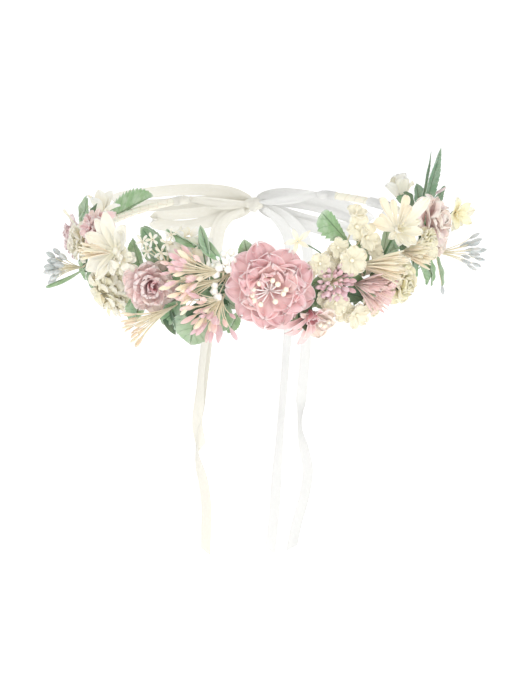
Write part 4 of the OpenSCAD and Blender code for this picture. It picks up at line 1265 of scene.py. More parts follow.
class CROWN_OT_peony(bpy.types.Operator):
    """Make the large pink peony with its stamens, leaves and the white berries beside it."""

    bl_idname = "crown.peony"
    bl_label = "Large peony"

    def execute(self, context):
        sizes = context.scene.crown_sizes
        place = seat(4, 98, 2.5, 6)
        outer = Piece("peony_outer_petals", 51)
        common = dict(waves=2.1, crumple=0.85, frill=0.022, frills=5, base=0.35, skew=1.7, cols=15, rows=18)
        outer.petals(place, 9, 20.0, 16.5, 12, 2.6, 0, 0.1, 6, (0.0, 0.6), 0, (26, 16, -4),
                     wrap=40, ruffle=1.5, notch=0.1, **common)
        outer.petals(place, 9, 17.4, 15.5, 34, 2.4, 1.4, 0.12, 8, (0.0, 0.75), 0, (42, 32, 8),
                     wrap=55, ruffle=1.5, notch=0.1, **common)
        outer.calyx(place, 9, 2.5, 1)
        outer.stem(place, 4, 1, 1.8, (0, 0, -1.5))
        outer.build(["peony_petal", "leaf"], "crown", ["peony_outer"])

        inner = Piece("peony_inner_petals", 52)
        inner.petals(place, 7, 14.6, 13.5, 5, 2.4, 2.4, 0.14, 9, (0.1, 0.9), 0, (52, 48, 26),
                     wrap=65, ruffle=1.3, notch=0.08, **common)
        folds = [
            (28, 13.0, 9.0, (52, 60, 56), 120, 0.2), (50, 12.0, 8.5, (58, 64, 60), 140, 0.1),
            (304, 15.5, 14.5, (40, 46, 30), 50, 0.95), (268, 14.5, 9.5, (44, 42, 22), 65, 0.0),
            (238, 14.0, 11.0, (36, 36, 20), 60, 0.6), (126, 13.0, 15.0, (14, 28, 50), 80, 1.0),
            (164, 13.0, 12.0, (22, 30, 36), 70, 0.8), (200, 14.0, 12.5, (26, 30, 20), 60, 0.5),
            (340, 12.0, 10.5, (54, 60, 50), 90, 0.7), (85, 13.0, 11.5, (40, 48, 44), 80, 0.5),
        ]
        for turn, length, width, rise, wrap, tint in folds:
            inner.petals(place, 1, length, width, turn, 2.2, 2.8, 0.03, 3, (tint, tint), 0, rise,
                         wrap=wrap, ruffle=1.0, notch=0.08, **common)
        inner.build(["peony_inner_petal"], "crown", ["peony_inner"])

        stamens = Piece("peony_stamen_threads", 53)
        heart = place @ shift(-1.0, -1.6, 3.2)
        tips = [(-5.4, 5.2, 8.2), (-8.6, 2.4, 7.6), (-9.2, -0.8, 7.4), (-8.4, -3.4, 7.8), (-5.2, -5.6, 8.0),
                (7.8, 1.2, 8.0), (6.4, -0.6, 8.6), (-2.6, 8.0, 7.0), (1.2, 6.4, 8.4), (3.8, 4.4, 8.8),
                (2.2, -4.4, 8.6)]
        for x, y, z in tips:
            path = bent_line((0, 0, 0), (x * 0.18, y * 0.18, z * 0.95), (x, y, z), 11)
            stamens.tube(path, sizes.filament_width / MM / 2, heart, 7, 0.5, 0)
            stamens.bead((x, y, z + 0.5), sizes.anther_width / MM / 2, heart, 0.5, 1, 1.0, 5, 0.04)
        stamens.bead((0.5, 1.2, -1.2), 3.0, heart, 0.5, 0, 0.6)
        stamens.build(["filament", "anther"], "crown", ["peony_stamens"])

        leaves = Piece("peony_leaf_group", 54)
        for angle, out, up, spin, length, width in (
                (-2, 95.5, 12.5, 8, 15, 9), (0.5, 96.0, 13, -18, 12, 6), (9, 96, -11, 205, 13, 8),
                (-5.5, 96, -11.5, 150, 13, 7), (-10, 97, 0.5, 75, 11, 9), (16.5, 96.5, 1.0, -80, 12, 8)):
            leaves.leaf(seat(angle, out, up, 0, 0, spin), length, width, 0.35, 0, teeth=8, tooth=0.1,
                        fold=0.3)
        for angle, up in ((-2, 13), (6, -12), (-6, -12)):
            leaves.stem(seat(angle, 96, up), angle, 1)
        leaves.build(["leaf", "stem"], "crown", ["peony_leaves"])

        berries = Piece("white_berries", 55)
        cluster = seat(-8, 96, 11, 6)
        spots = [(-2.5, 8.6, 3.5), (1.4, 9.4, 3.0), (-5.6, 6.4, 4.0), (-1.0, 5.0, 6.0), (2.6, 5.8, 5.0),
                 (-4.4, 2.2, 6.4), (-7.6, 2.4, 4.2), (0.4, 1.4, 7.4), (-6.4, -1.4, 5.4), (-7.0, -7.2, 6.0),
                 (-7.4, -10.2, 5.6), (-5.6, -13.2, 5.4)]
        width = sizes.berry_width / MM
        for i, (x, y, z) in enumerate(spots):
            berries.tube(bent_line((0, -2, 0), (x * 0.5, y * 0.5, z * 0.2), (x, y, z), 6), 0.35, cluster, 6,
                         0.5, 1)
            berries.bead((x, y, z + 0.8), width / 2 * (0.88 + 0.2 * (i % 3) / 2), cluster, 0.5, 0, 0.95, 5,
                         0.07)
        berries.stem(cluster, -8, 1)
        berries.build(["berry", "straw_stem"], "crown", ["berries_white"])
        return {"FINISHED"}


class CROWN_OT_bud_sprays(bpy.types.Operator):
    """Make the pink bud sprays, the cream tassel and the grey-green side sprigs."""

    bl_idname = "crown.bud_sprays"
    bl_label = "Bud sprays"

    def execute(self, context):
        upper = Piece("bud_spray_upper", 61)
        place = seat(-9.5, 100.5, 11, 8, -58)
        bud_spray(upper, place, 28, 30, 20, (7.6, 2.8), 0, 1, 0.6, (0, 1), 0.3)
        bud_spray(upper, seat(-10, 100, 7, -8, -58), 11, 20, 19, (7.0, 2.4), 0, 2, 0.6, (0, 1), 0.3)
        upper.stem(place, -11, 0)
        upper.build(["straw_stem", "pink_buds", "cream_buds"], "crown", ["buds_upper"])

        lower = Piece("bud_spray_lower", 62)
        place = seat(-9.5, 100.5, -2, -27, -44)
        bud_spray(lower, place, 28, 44, 14.5, (8.4, 2.8), 0, 1, 0.6, (0, 0.8), 0.25)
        bud_spray(lower, seat(-10, 101, -3, -44, -14), 9, 40, 15, (7.4, 2.6), 0, 2, 0.6, (0, 0.7), 0.2)
        lower.stem(place, -11, 0)
        lower.build(["straw_stem", "pink_buds", "dusty_buds"], "crown", ["buds_lower"])

        right = Piece("bud_spray_right", 63)
        place = seat(22.5, 98.5, 1.5, 2, -4)
        bud_spray(right, place, 40, 56, 8, (4.8, 2.7), 0, 1, 0.6, (0, 0.75), 0.2)
        right.stem(place, 22.5, 0)
        right.build(["straw_stem", "dusty_buds"], "crown", ["buds_right"])

        tassel = Piece("cream_tassel", 64)
        place = seat(-24.5, 99.5, -8.5, -21, -46)
        for i in range(22):
            aim = spray_direction(tassel.random, i, 22, 17)
            length = 23 * tassel.random.uniform(0.75, 1.12)
            end = aim @ Vector((0, 0, length))
            path = bent_line((0, 0, 0), (end.x * 0.15, end.y * 0.15, length * 0.55), tuple(end), 10)
            tassel.tube(path, np.linspace(0.35, 0.26, 10), place, 6, 0.5, 0)
            aim_at = Vector(path[-1] - path[-2]).to_track_quat("Z", "Y").to_matrix().to_4x4()
            tassel.bud(7.4 * tassel.random.uniform(0.8, 1.15), 2.0, place @ Matrix.Translation(end) @ aim_at,
                       tassel.random.uniform(0, 1), 1, 2, 0.25, 0.7, 0.1, 0.6)
        tassel.stem(place, -26.5, 0)
        tassel.build(["straw_stem", "cream_buds"], "crown", ["tassel_cream"])

        for name, node, place, angle, count, reach, size, open_angle in (
                ("grey_sprig_left", "sprig_left", seat(-70, 100, -4, 8, -14), -70, 16, 13, (5.4, 3.5), 28),
                ("grey_sprig_right", "sprig_right", seat(80, 99, -8, -2, 8), 80, 13, 21, (6.8, 3.0), 24)):
            sprig = Piece(name, 65 + count + len(node))
            bud_spray(sprig, place, count, open_angle, reach, size, 0, 1, 0.55, (0, 1), 0.25, 4, 0.9)
            if angle < 0:
                under = seat(-68, 98, -3, -20, -14) @ turned(0, 90)
                sprig.leaf(under, 25, 4.6, 0.1, 2, teeth=0, fold=0.5, rise=(6, 0, 4), pleat=0.1, cols=7)
            if angle > 0:
                bud_spray(sprig, seat(78, 101, -9, -80, 6), 1, 4, 17, (5.6, 2.8), 0, 1, 0.5)
            for i in range(5):
                aim = place @ turned(i * 80, 0, 0) @ turned(0, -55 + 4 * i, 0) @ shift(0, 2 + i, 0)
                sprig.leaf(aim, 8.5, 3.2, 0.5, 2, teeth=0, fold=0.3, pleat=0.0, cols=5)
            sprig.stem(place, angle, 0)
            sprig.build(["straw_stem", "grey_buds", "leaf"], "crown", [node])
        return {"FINISHED"}


class CROWN_OT_left_flowers(bpy.types.Operator):
    """Make the flowers on the left: small peony, lily, carnation, roses and what is round them."""

    bl_idname = "crown.left_flowers"
    bl_label = "Flowers on the left"

    def execute(self, context):
        place = seat(-33, 101, 1.5, 4, 40)
        small = Piece("small_peony", 71)
        shape = dict(waves=2.6, crumple=0.4, frill=0.03, frills=8, base=0.35, cols=12, rows=13, notch=0.05)
        small.petals(place, 8, 13.2, 11.5, 10, 1.6, 0, 0.12, 7, (0.2, 0.9), 0, (12, 24, 28), wrap=50,
                     ruffle=0.9, **shape)
        small.petals(place, 8, 11.8, 10, 32, 1.5, 1.4, 0.12, 7, (0.1, 0.7), 0, (34, 44, 46), wrap=65,
                     ruffle=0.9, **shape)
        small.petals(place, 7, 9.8, 8.4, 15, 1.2, 2.4, 0.12, 8, (0.0, 0.6), 0, (56, 62, 58), wrap=85,
                     ruffle=0.8, **shape)
        small.petals(place @ shift(2.5, 0, 0), 6, 8.0, 6.4, 0, 0.9, 3.0, 0.12, 8, (0.0, 0.4), 2,
                     (76, 74, 66), wrap=110, ruffle=0.7, **shape)
        small.calyx(place, 7, 2, 1)
        small.bead((0, 0, 1), 3.2, place, 0.0, 2, 0.8)
        small.stem(place, -32, 1, 1.5)
        small.build(["dusty_petal", "stem", "crimson_petal"], "crown", ["peony_small"])

        frill = Piece("frilled_ivory_flower", 72)
        place = seat(-20.5, 96, 21, 20)
        puff(frill, place, 20, 9, 26, 6.4, 0, (0.2, 0.9))
        frill.stem(place, -21, 1)
        frill.build(["ivory_petal", "stem"], "crown", ["frill_ivory"])

        lily = Piece("cream_star_lily", 73)
        place = seat(-42, 106.5, 18, 14)
        for turn, length, wide in ((19, 20, 9), (-32, 18, 9.5), (42, 18, 7), (72, 19, 8), (100, 18.5, 8),
                                   (128, 19, 8), (154, 17, 7), (-42, 13, 9), (192, 11, 7), (-80, 10, 7)):
            star_flower(lily, place, 1, length, wide, (12, 20, 18), 0, 1.4, (0.1, 0.8), turn, 0.22, 0.4,
                        0.66, 1.3, 0.06, 0.3 * (turn % 3), 3)
        puff(lily, place @ shift(7.5, -5, 0), 11, 6, 16, 4.6, 0, (0.1, 0.9))
        lily.calyx(place, 5, 2.4, 1)
        lily.bead((0, 0, 0.4), 2.4, place, 0.2, 0, 0.5)
        lily.stem(place, -42, 1, 1.4, (0, 0, -2))
        lily.build(["lily_petal", "stem"], "crown", ["lily_left"])

        stamens = Piece("lily_stamen_tuft", 74)
        place = seat(-41.5, 111.5, 18.4, 12, -44)
        brush(stamens, place, 30, 15.5, 24, 0, 1.9, 0.8, (0.1, 0.9))
        stamens.build(["peach_petal"], "crown", ["lily_left_stamens"])

        cream = Piece("cream_carnation", 75)
        place = seat(-50, 98, -5, -6)
        puff(cream, place, 25, 13, 60, 6.2, 0, (0.1, 0.9))
        star_flower(cream, place @ shift(0, -4, 1), 13, 11.5, 3.6, (14, 8, -8), 0, 3, (0.2, 0.9), 95, 0.2,
                    0.3, 0.8, 1.4, 0.14)
        star_flower(cream, place @ shift(0, -5, 2.5), 10, 9.5, 3.4, (34, 22, 2), 0, 3, (0.2, 0.9), 108, 0.2,
                    0.3, 0.8, 1.4, 0.14)
        cream.stem(place, -51, 1, 1.4)
        cream.build(["cream_petal", "stem"], "crown", ["carnation_cream"])

        pink = Piece("frilly_pink_rose", 76)
        place = seat(-57, 97.5, 23, 26)
        carnation(pink, place, 21, 0, 5, 9, 0.04, (0.1, 0.9), 0.46)
        pink.petals(place @ shift(2, -2, 0), 5, 7, 5, 0, 0.8, 3, 0.1, 8, (0, 0.3), 2, (70, 60, 30), wrap=80,
                    ruffle=0.4)
        pink.stem(place, -57, 1, 1.3)
        pink.build(["frilly_pink_petal", "stem", "dusty_petal"], "crown", ["rose_pink_left"])

        ivory = Piece("ivory_rose", 77)
        place = seat(-69, 98, 11, 8)
        rosette(ivory, place, 22, 0, 0.0, 1.0, (0.0, 0.6))
        ivory.petals(place, 5, 5.2, 4.6, 20, 1.0, 3.4, 0.1, 8, (0.2, 0.8), 2, (84, 78, 60), wrap=110,
                     ruffle=0.4, rows=9, cols=8)
        ivory.stem(place, -70, 1, 1.3)
        ivory.build(["cream_petal", "stem", "frilly_pink_petal"], "crown", ["rose_ivory"])

        mauve = Piece("mauve_side_flower", 78)
        place = seat(-84, 97, 7, 4)
        mauve.petals(place, 7, 11.6, 10, 0, 1.6, 0, 0.12, 8, (0.1, 0.9), 0, (10, 22, 30), wrap=50,
                     ruffle=0.8, **shape)
        mauve.petals(place, 6, 9.5, 8.5, 25, 1.4, 1.4, 0.12, 8, (0.1, 0.9), 0, (36, 48, 52), wrap=70,
                     ruffle=0.7, **shape)
        mauve.petals(place, 4, 7, 6, 0, 0.8, 2, 0.12, 8, (0.1, 0.9), 0, (66, 74, 72), wrap=110, ruffle=0.5,
                     **shape)
        mauve.petals(seat(-78, 99, 14, 40), 1, 13, 7.5, 0, 0.5, 0, 0.02, 2, (0.9, 0.9), 2, (58, 70, 78),
                     wrap=60, ruffle=0.5, **shape)
        mauve.stem(place, -85, 1, 1.3)
        mauve.build(["mauve_petal", "stem", "ivory_petal"], "crown", ["petals_mauve"])

        tiny = Piece("small_ivory_flower", 79)
        place = seat(-113, 95.5, 6, 56, -70)
        star_flower(tiny, place, 5, 13, 7.5, (70, 66, 50), 0, 1.2, (0.1, 0.9), 200, 0.2, 0.3, 0.6, 1.4)
        star_flower(tiny, place, 4, 12, 6.5, (36, 24, 6), 0, 1.2, (0.1, 0.5), 160, 0.2, 0.3, 0.6, 1.4)
        tiny.stem(place, -114, 1, 1.2)
        tiny.build(["ivory_petal", "stem"], "crown", ["bloom_ivory_small"])

        lace = Piece("filigree_florets", 80)
        root = ring_spot(-27, 99.5, 12)
        for i, (angle, up, turn) in enumerate(((-25, 26, 0), (-29.5, 27, 30), (-27, 20.5, 50),
                                               (-31.5, 20, 15), (-23.5, 30.5, 70), (-33, 25, 40))):
            head = seat(angle, 105, up, 20, 8 * (i % 3) - 8, turn)
            star_flower(lace, head, 5, 3.8, 1.5, (30, 10, -20), 0, 0.3, (0.1, 0.9), 0, 0.1, 0.1, 0.5, 1.9,
                        0.1)
            end = head @ Vector((0, 0, -0.3))
            middle = (root + end) / 2 + Vector((0, -1.5, 1.5))
            lace.tube(bent_line(root, middle, end, 9), 0.3, None, 6, 0.8, 1)
        lace.stem(Matrix.Translation(root), -27, 2)
        lace.build(["ivory_petal", "straw_stem", "stem"], "crown", ["filigree_sprig"])
        return {"FINISHED"}


class CROWN_OT_right_flowers(bpy.types.Operator):
    """Make the flowers on the right: florets, brushes, carnations, lily, rose and rosebud."""

    bl_idname = "crown.right_flowers"
    bl_label = "Flowers on the right"

    def execute(self, context):
        upper = Piece("cream_florets_upper", 81)
        heads = [(18.5, 101.5, 12.5, 11.5), (22, 100, 15, 11), (24, 102, 19.5, 10.5),
                 (27.5, 104.5, 12.5, 15.5),
                 (34, 101, 21.5, 14), (30.5, 101, 28.5, 14), (37, 99.5, 14, 13), (15.5, 100.5, 9.5, 9.5),
                 (20.5, 101.5, 8, 10)]
        root = ring_spot(24, 99, 8)
        for i, (angle, out, up, width) in enumerate(heads):
            head = seat(angle, out, up, 10 - 6 * (i % 2), (-14, 6, 0, -8, 12, 4, 16, -20, -6)[i])
            floret(upper, head, width, 0, 1, 6 if i == 3 else 5)
            end = head @ Vector((0, 0, -2.2))
            upper.tube(bent_line(root, (root + end) / 2 + Vector((0, 0, -1)), end, 7), 0.45, None, 6, 0.5, 4)
        top = seat(31, 100, 34, 62)
        floret(upper, top, 11, 0, 1, 5, (60, 30, 0))
        spike = seat(12.5, 98.5, 24.5, 22, -10)
        star_flower(upper, spike, 5, 7.4, 2.3, (34, 22, 10), 3, 0.4, (0.1, 0.6), 20, 0.25, 0.15, 0.8, 1.1,
                    0.2)
        upper.tube(bent_line(root, ring_spot(19, 100, 20), spike @ Vector((0, 0, -0.3)), 9), 0.35, None, 6,
                   0.5, 2)
        upper.stem(Matrix.Translation(root), 24, 2, 1.4)
        upper.build(["floret_petal", "anther", "stem", "cream_petal", "straw_stem"], "crown",
                    ["florets_upper"])

        lower = Piece("cream_florets_lower", 82)
        root = ring_spot(28, 97, -6)
        for i, (angle, out, up, width) in enumerate(((22.5, 103, -9, 13.5), (30, 101, -18.5, 14),
                                                     (34.5, 99.5, -13, 12), (26.5, 99, -16, 12),
                                                     (37, 98, -17, 12), (19.5, 102, -6, 9))):
            head = seat(angle, out, up, -16 + 4 * i, (-8, 6, 16, -16, 20, -12)[i])
            floret(lower, head, width)
            end = head @ Vector((0, 0, -2.2))
            lower.tube(bent_line(root, (root + end) / 2, end, 7), 0.45, None, 6, 0.5, 2)
        lower.stem(Matrix.Translation(root), 28, 2, 1.4)
        lower.build(["floret_petal", "anther", "stem"], "crown", ["florets_lower"])

        side = Piece("cream_floret_side", 83)
        place = seat(60, 103.5, 4.5, 4, -24)
        floret(side, place, 15)
        side.stem(place, 61, 2, None, (0, 0, -2.5))
        side.build(["floret_petal", "anther", "stem"], "crown", ["floret_side"])

        low = Piece("drooping_pink_carnation", 84)
        place = seat(16, 99, -13.5, -32)
        low.petals(place, 8, 17.5, 5.2, 108, 2.0, 0.0, 0.2, 10, (0.1, 0.5), 0, (26, 0, -22), step=21,
                   wrap=110, ruffle=0.4, waves=1.4, crumple=0.3, blunt=0.5, skew=2.2, base=0.35, rows=15,
                   cols=10)
        star_flower(low, place, 8, 11.5, 3.6, (54, 34, 10), 0, 1.6, (0.1, 0.8), 100, 0.6, 0.3, 0.6, 1.9,
                    0.16, 1.0, 14)
        low.petals(place, 4, 11.5, 10, 195, 1.5, 1.2, 0.1, 6, (0.6, 1.0), 3, (24, 34, 34), step=34, wrap=60,
                   ruffle=0.9, waves=2.2, crumple=0.4, rows=13, cols=12)
        low.petals(place @ shift(-2, 4, 0), 7, 8.0, 5.5, 10, 0.8, 2.2, 0.12, 10, (0.0, 0.3), 5,
                   (78, 74, 66), wrap=110, ruffle=0.4, rows=9, cols=7)
        for x, y, z in ((5.0, -3.0, 7.6), (7.2, -0.8, 7.0), (2.4, -1.0, 8.0)):
            low.tube(bent_line((0, 0, 0), (x * 0.2, y * 0.2, z), (x, y, z), 8), 0.32, place, 6, 0.5, 1)
            low.bead((x, y, z + 0.4), 1.2, place, 0.5, 2)
        low.stem(place, 16, 4, 1.4)
        low.build(["frilly_pink_petal", "filament", "anther", "blush_petal", "stem", "crimson_petal"],
                  "crown", ["carnation_pink"])

        peach = Piece("peach_brushes", 85)
        brush(peach, seat(31, 100.5, 7, 2, 42), 60, 25, 27, 0, 1.45, 0.75)
        brush(peach, seat(48, 101, 8, 2, 20), 44, 17, 32, 0, 1.45, 0.9)
        peach.stem(seat(35, 98, 4.4), 34, 1)
        peach.stem(seat(53, 98, 3), 53, 1)
        peach.build(["peach_petal", "stem"], "crown", ["brush_peach"])

        dusty = Piece("dusty_brush", 86)
        place = seat(30.5, 98.5, -3, -6, 28)
        brush(dusty, place, 62, 20, 42, 0, 1.6, 0.85)
        star_flower(dusty, seat(40, 101, -5, -8, 16), 9, 10.5, 4.4, (30, 30, 16), 0, 1, (0.1, 0.9), 20, 0.4,
                    0.3, 0.6, 1.8, 0.15)
        star_flower(dusty, seat(37, 104, -9, -20, 10), 9, 10, 3.6, (40, 24, 4), 0, 1, (0.1, 0.9), 150, 0.4,
                    0.3, 0.6, 1.8, 0.15)
        for turn, lean in ((-20, 6), (25, -4)):
            dusty.leaf(place @ turned(0, 0, turn) @ turned(0, 90 - lean, 0), 17, 2.6, 0.3, 1, teeth=0,
                       fold=0.4, pleat=0, cols=7)
        dusty.stem(place, 33, 1, 1.4)
        dusty.build(["dusty_filament", "leaf"], "crown", ["brush_dusty"])

        yellow = Piece("yellow_carnation", 87)
        place = seat(47.4, 99.5, -8, -4)
        rosette(yellow, place, 23, 0, 0.05, 1.0, (0.1, 0.9), 0.1)
        rosette(yellow, seat(62, 102, 8, 4, -8), 15, 0, 0.05, 1.0, (0.3, 0.9), 0.1)
        yellow.stem(place, 49, 1, 1.3)
        yellow.build(["yellow_petal", "stem"], "crown", ["carnation_yellow"])

        lily = Piece("peach_star_lily", 88)
        place = seat(45.5, 103, 21, 34, -12)
        star_flower(lily, place, 1, 18, 7.0, (14, 18, 16), 0, 1.4, (0.0, 0.4), 74, 0.4, 0.6, 0.4, 3.0, 0.06)
        for turn, length, wide in ((48, 13, 4), (24, 18.5, 5.5), (-2, 15, 3.8), (-28, 19, 4.8), (-46, 14, 4)):
            star_flower(lily, place, 1, length, wide, (14, 18, 18), 0, 1.4, (0.0, 0.5), turn, 0.4, 0.5, 0.4,
                        3.0, 0.06)
        for turn, length, wide in ((-62, 24, 6.5), (-84, 14, 5), (-110, 12, 5.5), (150, 9, 5), (180, 10, 6),
                                   (212, 10, 6), (110, 8, 4)):
            lily.petals(place, 1, length, wide, turn, 1.4, 0.4, 0.06, 3, (0.6, 1.0), 1, (12, 14, 10),
                        wrap=30, fold=0.2, ruffle=0.5, blunt=0.66, skew=1.5, crumple=0.3, rows=14, cols=10)
        brush(lily, place @ shift(0, 0, 0.8), 12, 8.5, 34, 2, 1.0, 0.9)
        lily.calyx(place, 5, 2.4, 3)
        lily.bead((0, 0, 0.4), 2.2, place, 0.2, 1, 0.5)
        lily.stem(place, 43, 3, 1.4, (0, 0, -2))
        lily.build(["peach_lily_petal", "ivory_petal", "yellow_petal", "stem"], "crown", ["lily_right"])

        rose = Piece("pink_rose_right", 89)
        place = seat(70, 98.5, 14, 14, -10)
        rosette(rose, place, 30, 0, 0.012, 1.0, (0.1, 0.9), 0.08)
        rosette(rose, seat(74, 100, 1, -14, -14), 19, 0, 0.012, 1.0, (0.6, 1.0), 0.08)
        rose.stem(place, 72, 1, 1.4)
        rose.build(["blush_petal", "stem"], "crown", ["rose_pink_right"])

        bud = Piece("white_rosebud", 90)
        place = seat(116, 95.5, 6, 52, 78)
        bud.petals(place, 3, 13, 10, 0, 0.8, 3, 0.06, 4, (0.2, 0.8), 0, (88, 86, 76), wrap=170, ruffle=0.3,
                   rows=12, cols=11)
        bud.petals(place, 4, 12.5, 11, 40, 1.8, 1.8, 0.08, 5, (0.2, 0.9), 0, (74, 78, 64), wrap=110,
                   ruffle=0.5, rows=12, cols=11)
        bud.petals(place, 4, 11.5, 9.5, 10, 2.4, 1.2, 0.08, 5, (0.2, 0.9), 0, (56, 60, 34), wrap=80,
                   ruffle=0.7, rows=12, cols=11)
        bud.calyx(place @ shift(0, 0, 2.2), 6.4, 4.6, 1)
        for i in range(5):
            bud.leaf(place @ turned(72 * i) @ shift(0, 2.2, 1.2) @ turned(0, 58), 8.5 + (i % 2) * 3, 2.8,
                     0.3, 1, teeth=0, fold=0.3, pleat=0, cols=7)
        bud.stem(place, 115, 1, 1.4, (0, 0, -2))
        bud.build(["ivory_petal", "leaf"], "crown", ["rosebud_white"])

        tall = Piece("yellow_pointed_flower", 91)
        place = seat(85, 111, 11.5, 2, -44)
        star_flower(tall, place, 5, 10.5, 5.6, (20, 26, 24), 0, 1, (0.1, 0.6), 80, 0.3, 0.3, 0.75, 1.4, 0.14)
        star_flower(tall, place, 4, 6, 2.6, (52, 48, 36), 0, 0.8, (0.0, 0.3), 0, 0.3, 0.2, 0.8, 1.3, 0.14,
                    0.5)
        tall.petals(place, 2, 9, 4.5, 170, 1, -0.4, 0.1, 4, (0.5, 0.9), 1, (6, 0, -8), step=40, wrap=30,
                    fold=0.3, ruffle=0.4, blunt=0.7, skew=1.4)
        tall.petals(place, 1, 17, 5.2, 262, 1, -0.2, 0.02, 2, (0.7, 0.9), 1, (4, 0, -12), wrap=30,
                    fold=0.35, ruffle=0.4, blunt=0.8, skew=1.2, rows=15)
        tall.calyx(place, 3.6, 2.6, 2)
        tall.stem(place, 84, 2, 0.9, (0, 0, -2))
        tall.build(["yellow_petal", "ivory_petal", "stem"], "crown", ["flower_yellow"])
        return {"FINISHED"}


class CROWN_OT_leaves(bpy.types.Operator):
    """Cut the leaves and bind them in between the flowers."""

    bl_idname = "crown.leaves"
    bl_label = "Leaves"

    def execute(self, context):
        broad = Piece("broad_leaf_left", 101)
        base = seat(-118, 95, 0.5, 12, -12, 81)
        broad.leaf(base, 36, 25, 0.3, 0, teeth=13, tooth=0.18, fold=0.12, rise=(4, 2, -8), veins=7, pleat=0.5,
                   blunt=0.55, skew=0.95, right=0.85, left=0.16, cols=17)
        broad.stem(base, -119, 1)
        broad.build(["leaf", "stem"], "crown", ["leaf_broad_left"])

        right = Piece("broad_leaf_right", 102)
        base = seat(32.5, 95.5, 12.5, 0, 0, 40)
        right.leaf(base, 34, 24, 0.2, 0, teeth=11, tooth=0.2, fold=0.3, rise=(8, 4, -4), veins=6, pleat=0.5,
                   blunt=0.28, skew=4.0, left=0.75, right=0.3, cols=17)
        right.stem(base, 29, 1)
        right.build(["leaf", "stem"], "crown", ["leaf_broad_right"])

        groups = [
            ("narrow_folded_leaves", "leaves_folded", "leaf", 0, [
                (-15, 102, 23, 62, 21, 6.0, 0.9, 20), (-13, 102.5, 20, 16, 16, 6.5, 0.9, -14),
                (-10, 101, 17, 40, 17, 8.0, 0.6, 8)]),
            ("low_serrated_leaves", "leaves_low", "leaf", 11, [
                (-18, 97, -8, 168, 22, 21, 0.14, 0), (-22, 97.5, -7, 132, 17, 11, 0.3, 8),
                (-9, 96.5, -7, 170, 15, 9, 0.3, 4), (-24, 96.5, -4, 150, 19, 12, 0.3, 0),
                (-9, 98, 3, 104, 21, 8, 0.5, 0), (-9, 98.5, 0, 84, 18, 7, 0.5, 0)]),
            ("left_leaf_group", "leaves_left", "leaf", 10, [
                (-24, 95, 9, 46, 30, 13, 0.35, 4), (-22, 95, 6, 62, 27, 11, 0.4, 0),
                (-27, 95, 12, 40, 24, 12, 0.4, -6),
                (-19, 94.5, 6, 80, 18, 9, 0.5, 8), (-36, 96.5, -6, 150, 17, 10, 0.4, 0),
                (-41, 96.5, -8, 176, 15, 9, 0.4, 6), (-37, 96.5, 4, 20, 20, 10, 0.4, 0)]),
            ("back_left_leaves", "leaves_back_left", "leaf", 0, [
                (-98, 96, 5, 12, 18, 8, 0.7, 10), (-104, 96, 5, -14, 16, 7, 0.7, -8),
                (-93, 96, 4, 30, 13, 6.5, 0.7, 0),
                (-108, 96, -3, 160, 14, 7, 0.5, 0), (-96, 96, -4, 190, 15, 7, 0.5, 0)]),
            ("drooping_right_leaves", "leaves_right", "leaf", 0, [
                (66, 96, -4, -150, 18, 8, 0.5, 10), (78, 100, -6, 186, 23, 9, 0.4, 10),
                (63, 96.5, -4, 205, 18, 8, 0.5, -8),
                (84, 99, -7, 215, 15, 7, 0.4, 0), (71, 99, -6, 160, 16, 8, 0.4, 0),
                (55, 96.5, -3, -165, 14, 7, 0.4, 0), (37, 95, 6, 20, 18, 10, 0.3, 0),
                (43, 95, 5, -20, 18, 10, 0.3, 0),
                (52, 95, 6, 20, 18, 9, 0.3, 0), (25, 95, 2, 250, 18, 8, 0.3, 0),
                (21, 95, 2, 150, 16, 8, 0.4, 0)]),
        ]
        for i, (name, node, finish, teeth, leaves) in enumerate(groups):
            piece = Piece(name, 103 + i)
            for angle, out, up, spin, length, width, fold, twist in leaves:
                base = seat(angle, out, up, 6, 0, spin)
                piece.leaf(base, length, width, piece.random.uniform(0, 0.8), 0, teeth=teeth, fold=fold,
                           rise=(12, 4, -6), twist=twist, pleat=0.3 if teeth else 0.12, wave=0.3)
                piece.stem(base, angle, 1, 0.8)
            piece.build([finish, "stem"], "crown", [node])

        blades = Piece("tall_blade_leaves", 110)
        for angle, out, up, spin, length, width, pitch in (
                (88, 92, 6, -17, 42, 8.4, 0), (92, 91.5, 6, -12, 38, 3.6, 0), (104, 96.5, 6, 8, 15, 10, 0),
                (95, 97, 5, -36, 20, 6, 0)):
            base = seat(angle, out, up, pitch, -66, spin)
            blades.leaf(base, length, width, 0.1, 0, teeth=15, tooth=0.12, fold=0.55, rise=(4, 2, 0),
                        pleat=0.15, wave=0.35, blunt=0.8, skew=0.9, twist=8, cols=11)
            blades.stem(base, angle, 1, 0.9)
        blades.petals(seat(92, 99, 18, 10), 3, 9, 2.4, -20, 0.5, 0, 0.1, 4, (0.2, 0.8), 2, (60, 70, 76),
                      step=20, wrap=40, fold=0.2)
        blades.build(["blue_leaf", "stem", "mauve_petal"], "crown", ["blade_leaves"])
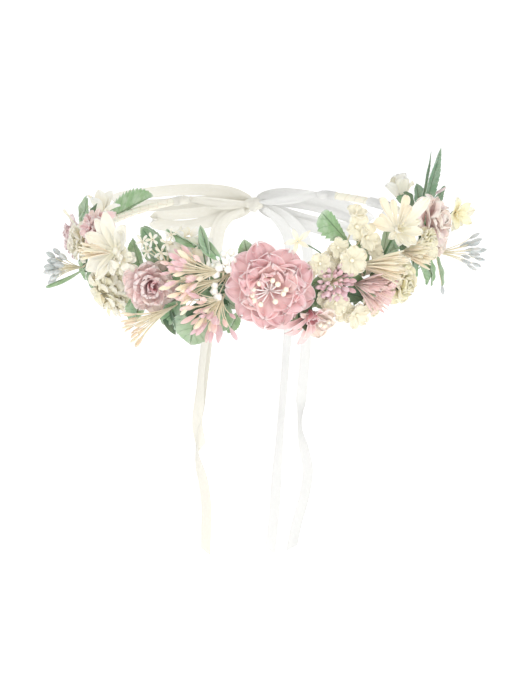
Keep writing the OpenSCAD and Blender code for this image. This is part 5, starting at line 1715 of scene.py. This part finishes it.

        # The leaves here with the dark_leaf finish, every other one round the ring and all seven listed
        # below, are darker green: partly real darker paper leaves, partly painted shade for the gaps low
        # between the flowers
        filler = Piece("filler_leaves", 111)
        for i, angle in enumerate(np.arange(-116, 116, 3.1)):
            if ARM_ROOT - 8 < abs(angle):
                continue
            spin = (40, 200, -50, 130, 10, -120, 165)[i % 7] + filler.random.uniform(-15, 15)
            base = seat(angle, RING_R + 1.4, filler.random.uniform(-2.0, 2.0), 4,
                        filler.random.uniform(-14, 14), spin)
            filler.leaf(base, filler.random.uniform(14, 19), filler.random.uniform(7.5, 10.5),
                        filler.random.uniform(0, 1), i % 2, teeth=8 if i % 3 else 0, fold=0.4,
                        rise=(8, 2, -8), pleat=0.25, wave=0.3)
        for angle, out, up, spin in (
                (-9, 98, 4, 104), (-9, 98.5, 0, 84), (-12, 98, -5, 118), (-29, 98, -7, 200),
                (23, 98, -4, 250), (13, 96, -6, 190), (41, 98, -2, 235)):
            filler.leaf(seat(angle, out, up, 6, 0, spin), 19, 8.5, 0.1, 0, teeth=0, fold=0.4,
                        rise=(8, 2, -8), pleat=0.25)
        filler.build(["dark_leaf", "leaf"], "crown", ())
        return {"FINISHED"}


# ---- panel and running ----

OPERATORS = [
    CROWN_OT_stage, CROWN_OT_tails, CROWN_OT_bow, CROWN_OT_band, CROWN_OT_peony,
    CROWN_OT_bud_sprays, CROWN_OT_left_flowers, CROWN_OT_right_flowers, CROWN_OT_leaves,
]


class CROWN_PT_panel(bpy.types.Panel):
    """Lists what makes the crown, with its sizes and colours."""

    bl_idname = "CROWN_PT_panel"
    bl_label = "Flower crown"
    bl_space_type = "VIEW_3D"
    bl_region_type = "UI"
    bl_category = "Flower crown"

    def draw(self, context):
        scene = context.scene
        for group in (scene.crown_sizes, scene.crown_colours, scene.crown_stage):
            box = self.layout.box()
            for name in group.__annotations__:
                box.prop(group, name)
        for operator in OPERATORS:
            self.layout.operator(operator.bl_idname)


CLASSES = [CrownSizes, CrownColours, CrownStage, *OPERATORS, CROWN_PT_panel]


def register():
    """Adds the settings, the operators and the panel."""
    for item in CLASSES:
        bpy.utils.register_class(item)
    bpy.types.Scene.crown_sizes = PointerProperty(type=CrownSizes)
    bpy.types.Scene.crown_colours = PointerProperty(type=CrownColours)
    bpy.types.Scene.crown_stage = PointerProperty(type=CrownStage)


def unregister():
    """Takes them away again."""
    del bpy.types.Scene.crown_stage
    del bpy.types.Scene.crown_colours
    del bpy.types.Scene.crown_sizes
    for item in reversed(CLASSES):
        bpy.utils.unregister_class(item)


def main():
    """Builds the whole crown."""
    register()
    make_finishes(bpy.context.scene.crown_colours)
    for operator in OPERATORS:
        group, name = operator.bl_idname.split(".")
        result = getattr(getattr(bpy.ops, group), name)()
        if result != {"FINISHED"}:
            raise RuntimeError(operator.bl_label + " wasn't finished")


if __name__ == "__main__":
    main()
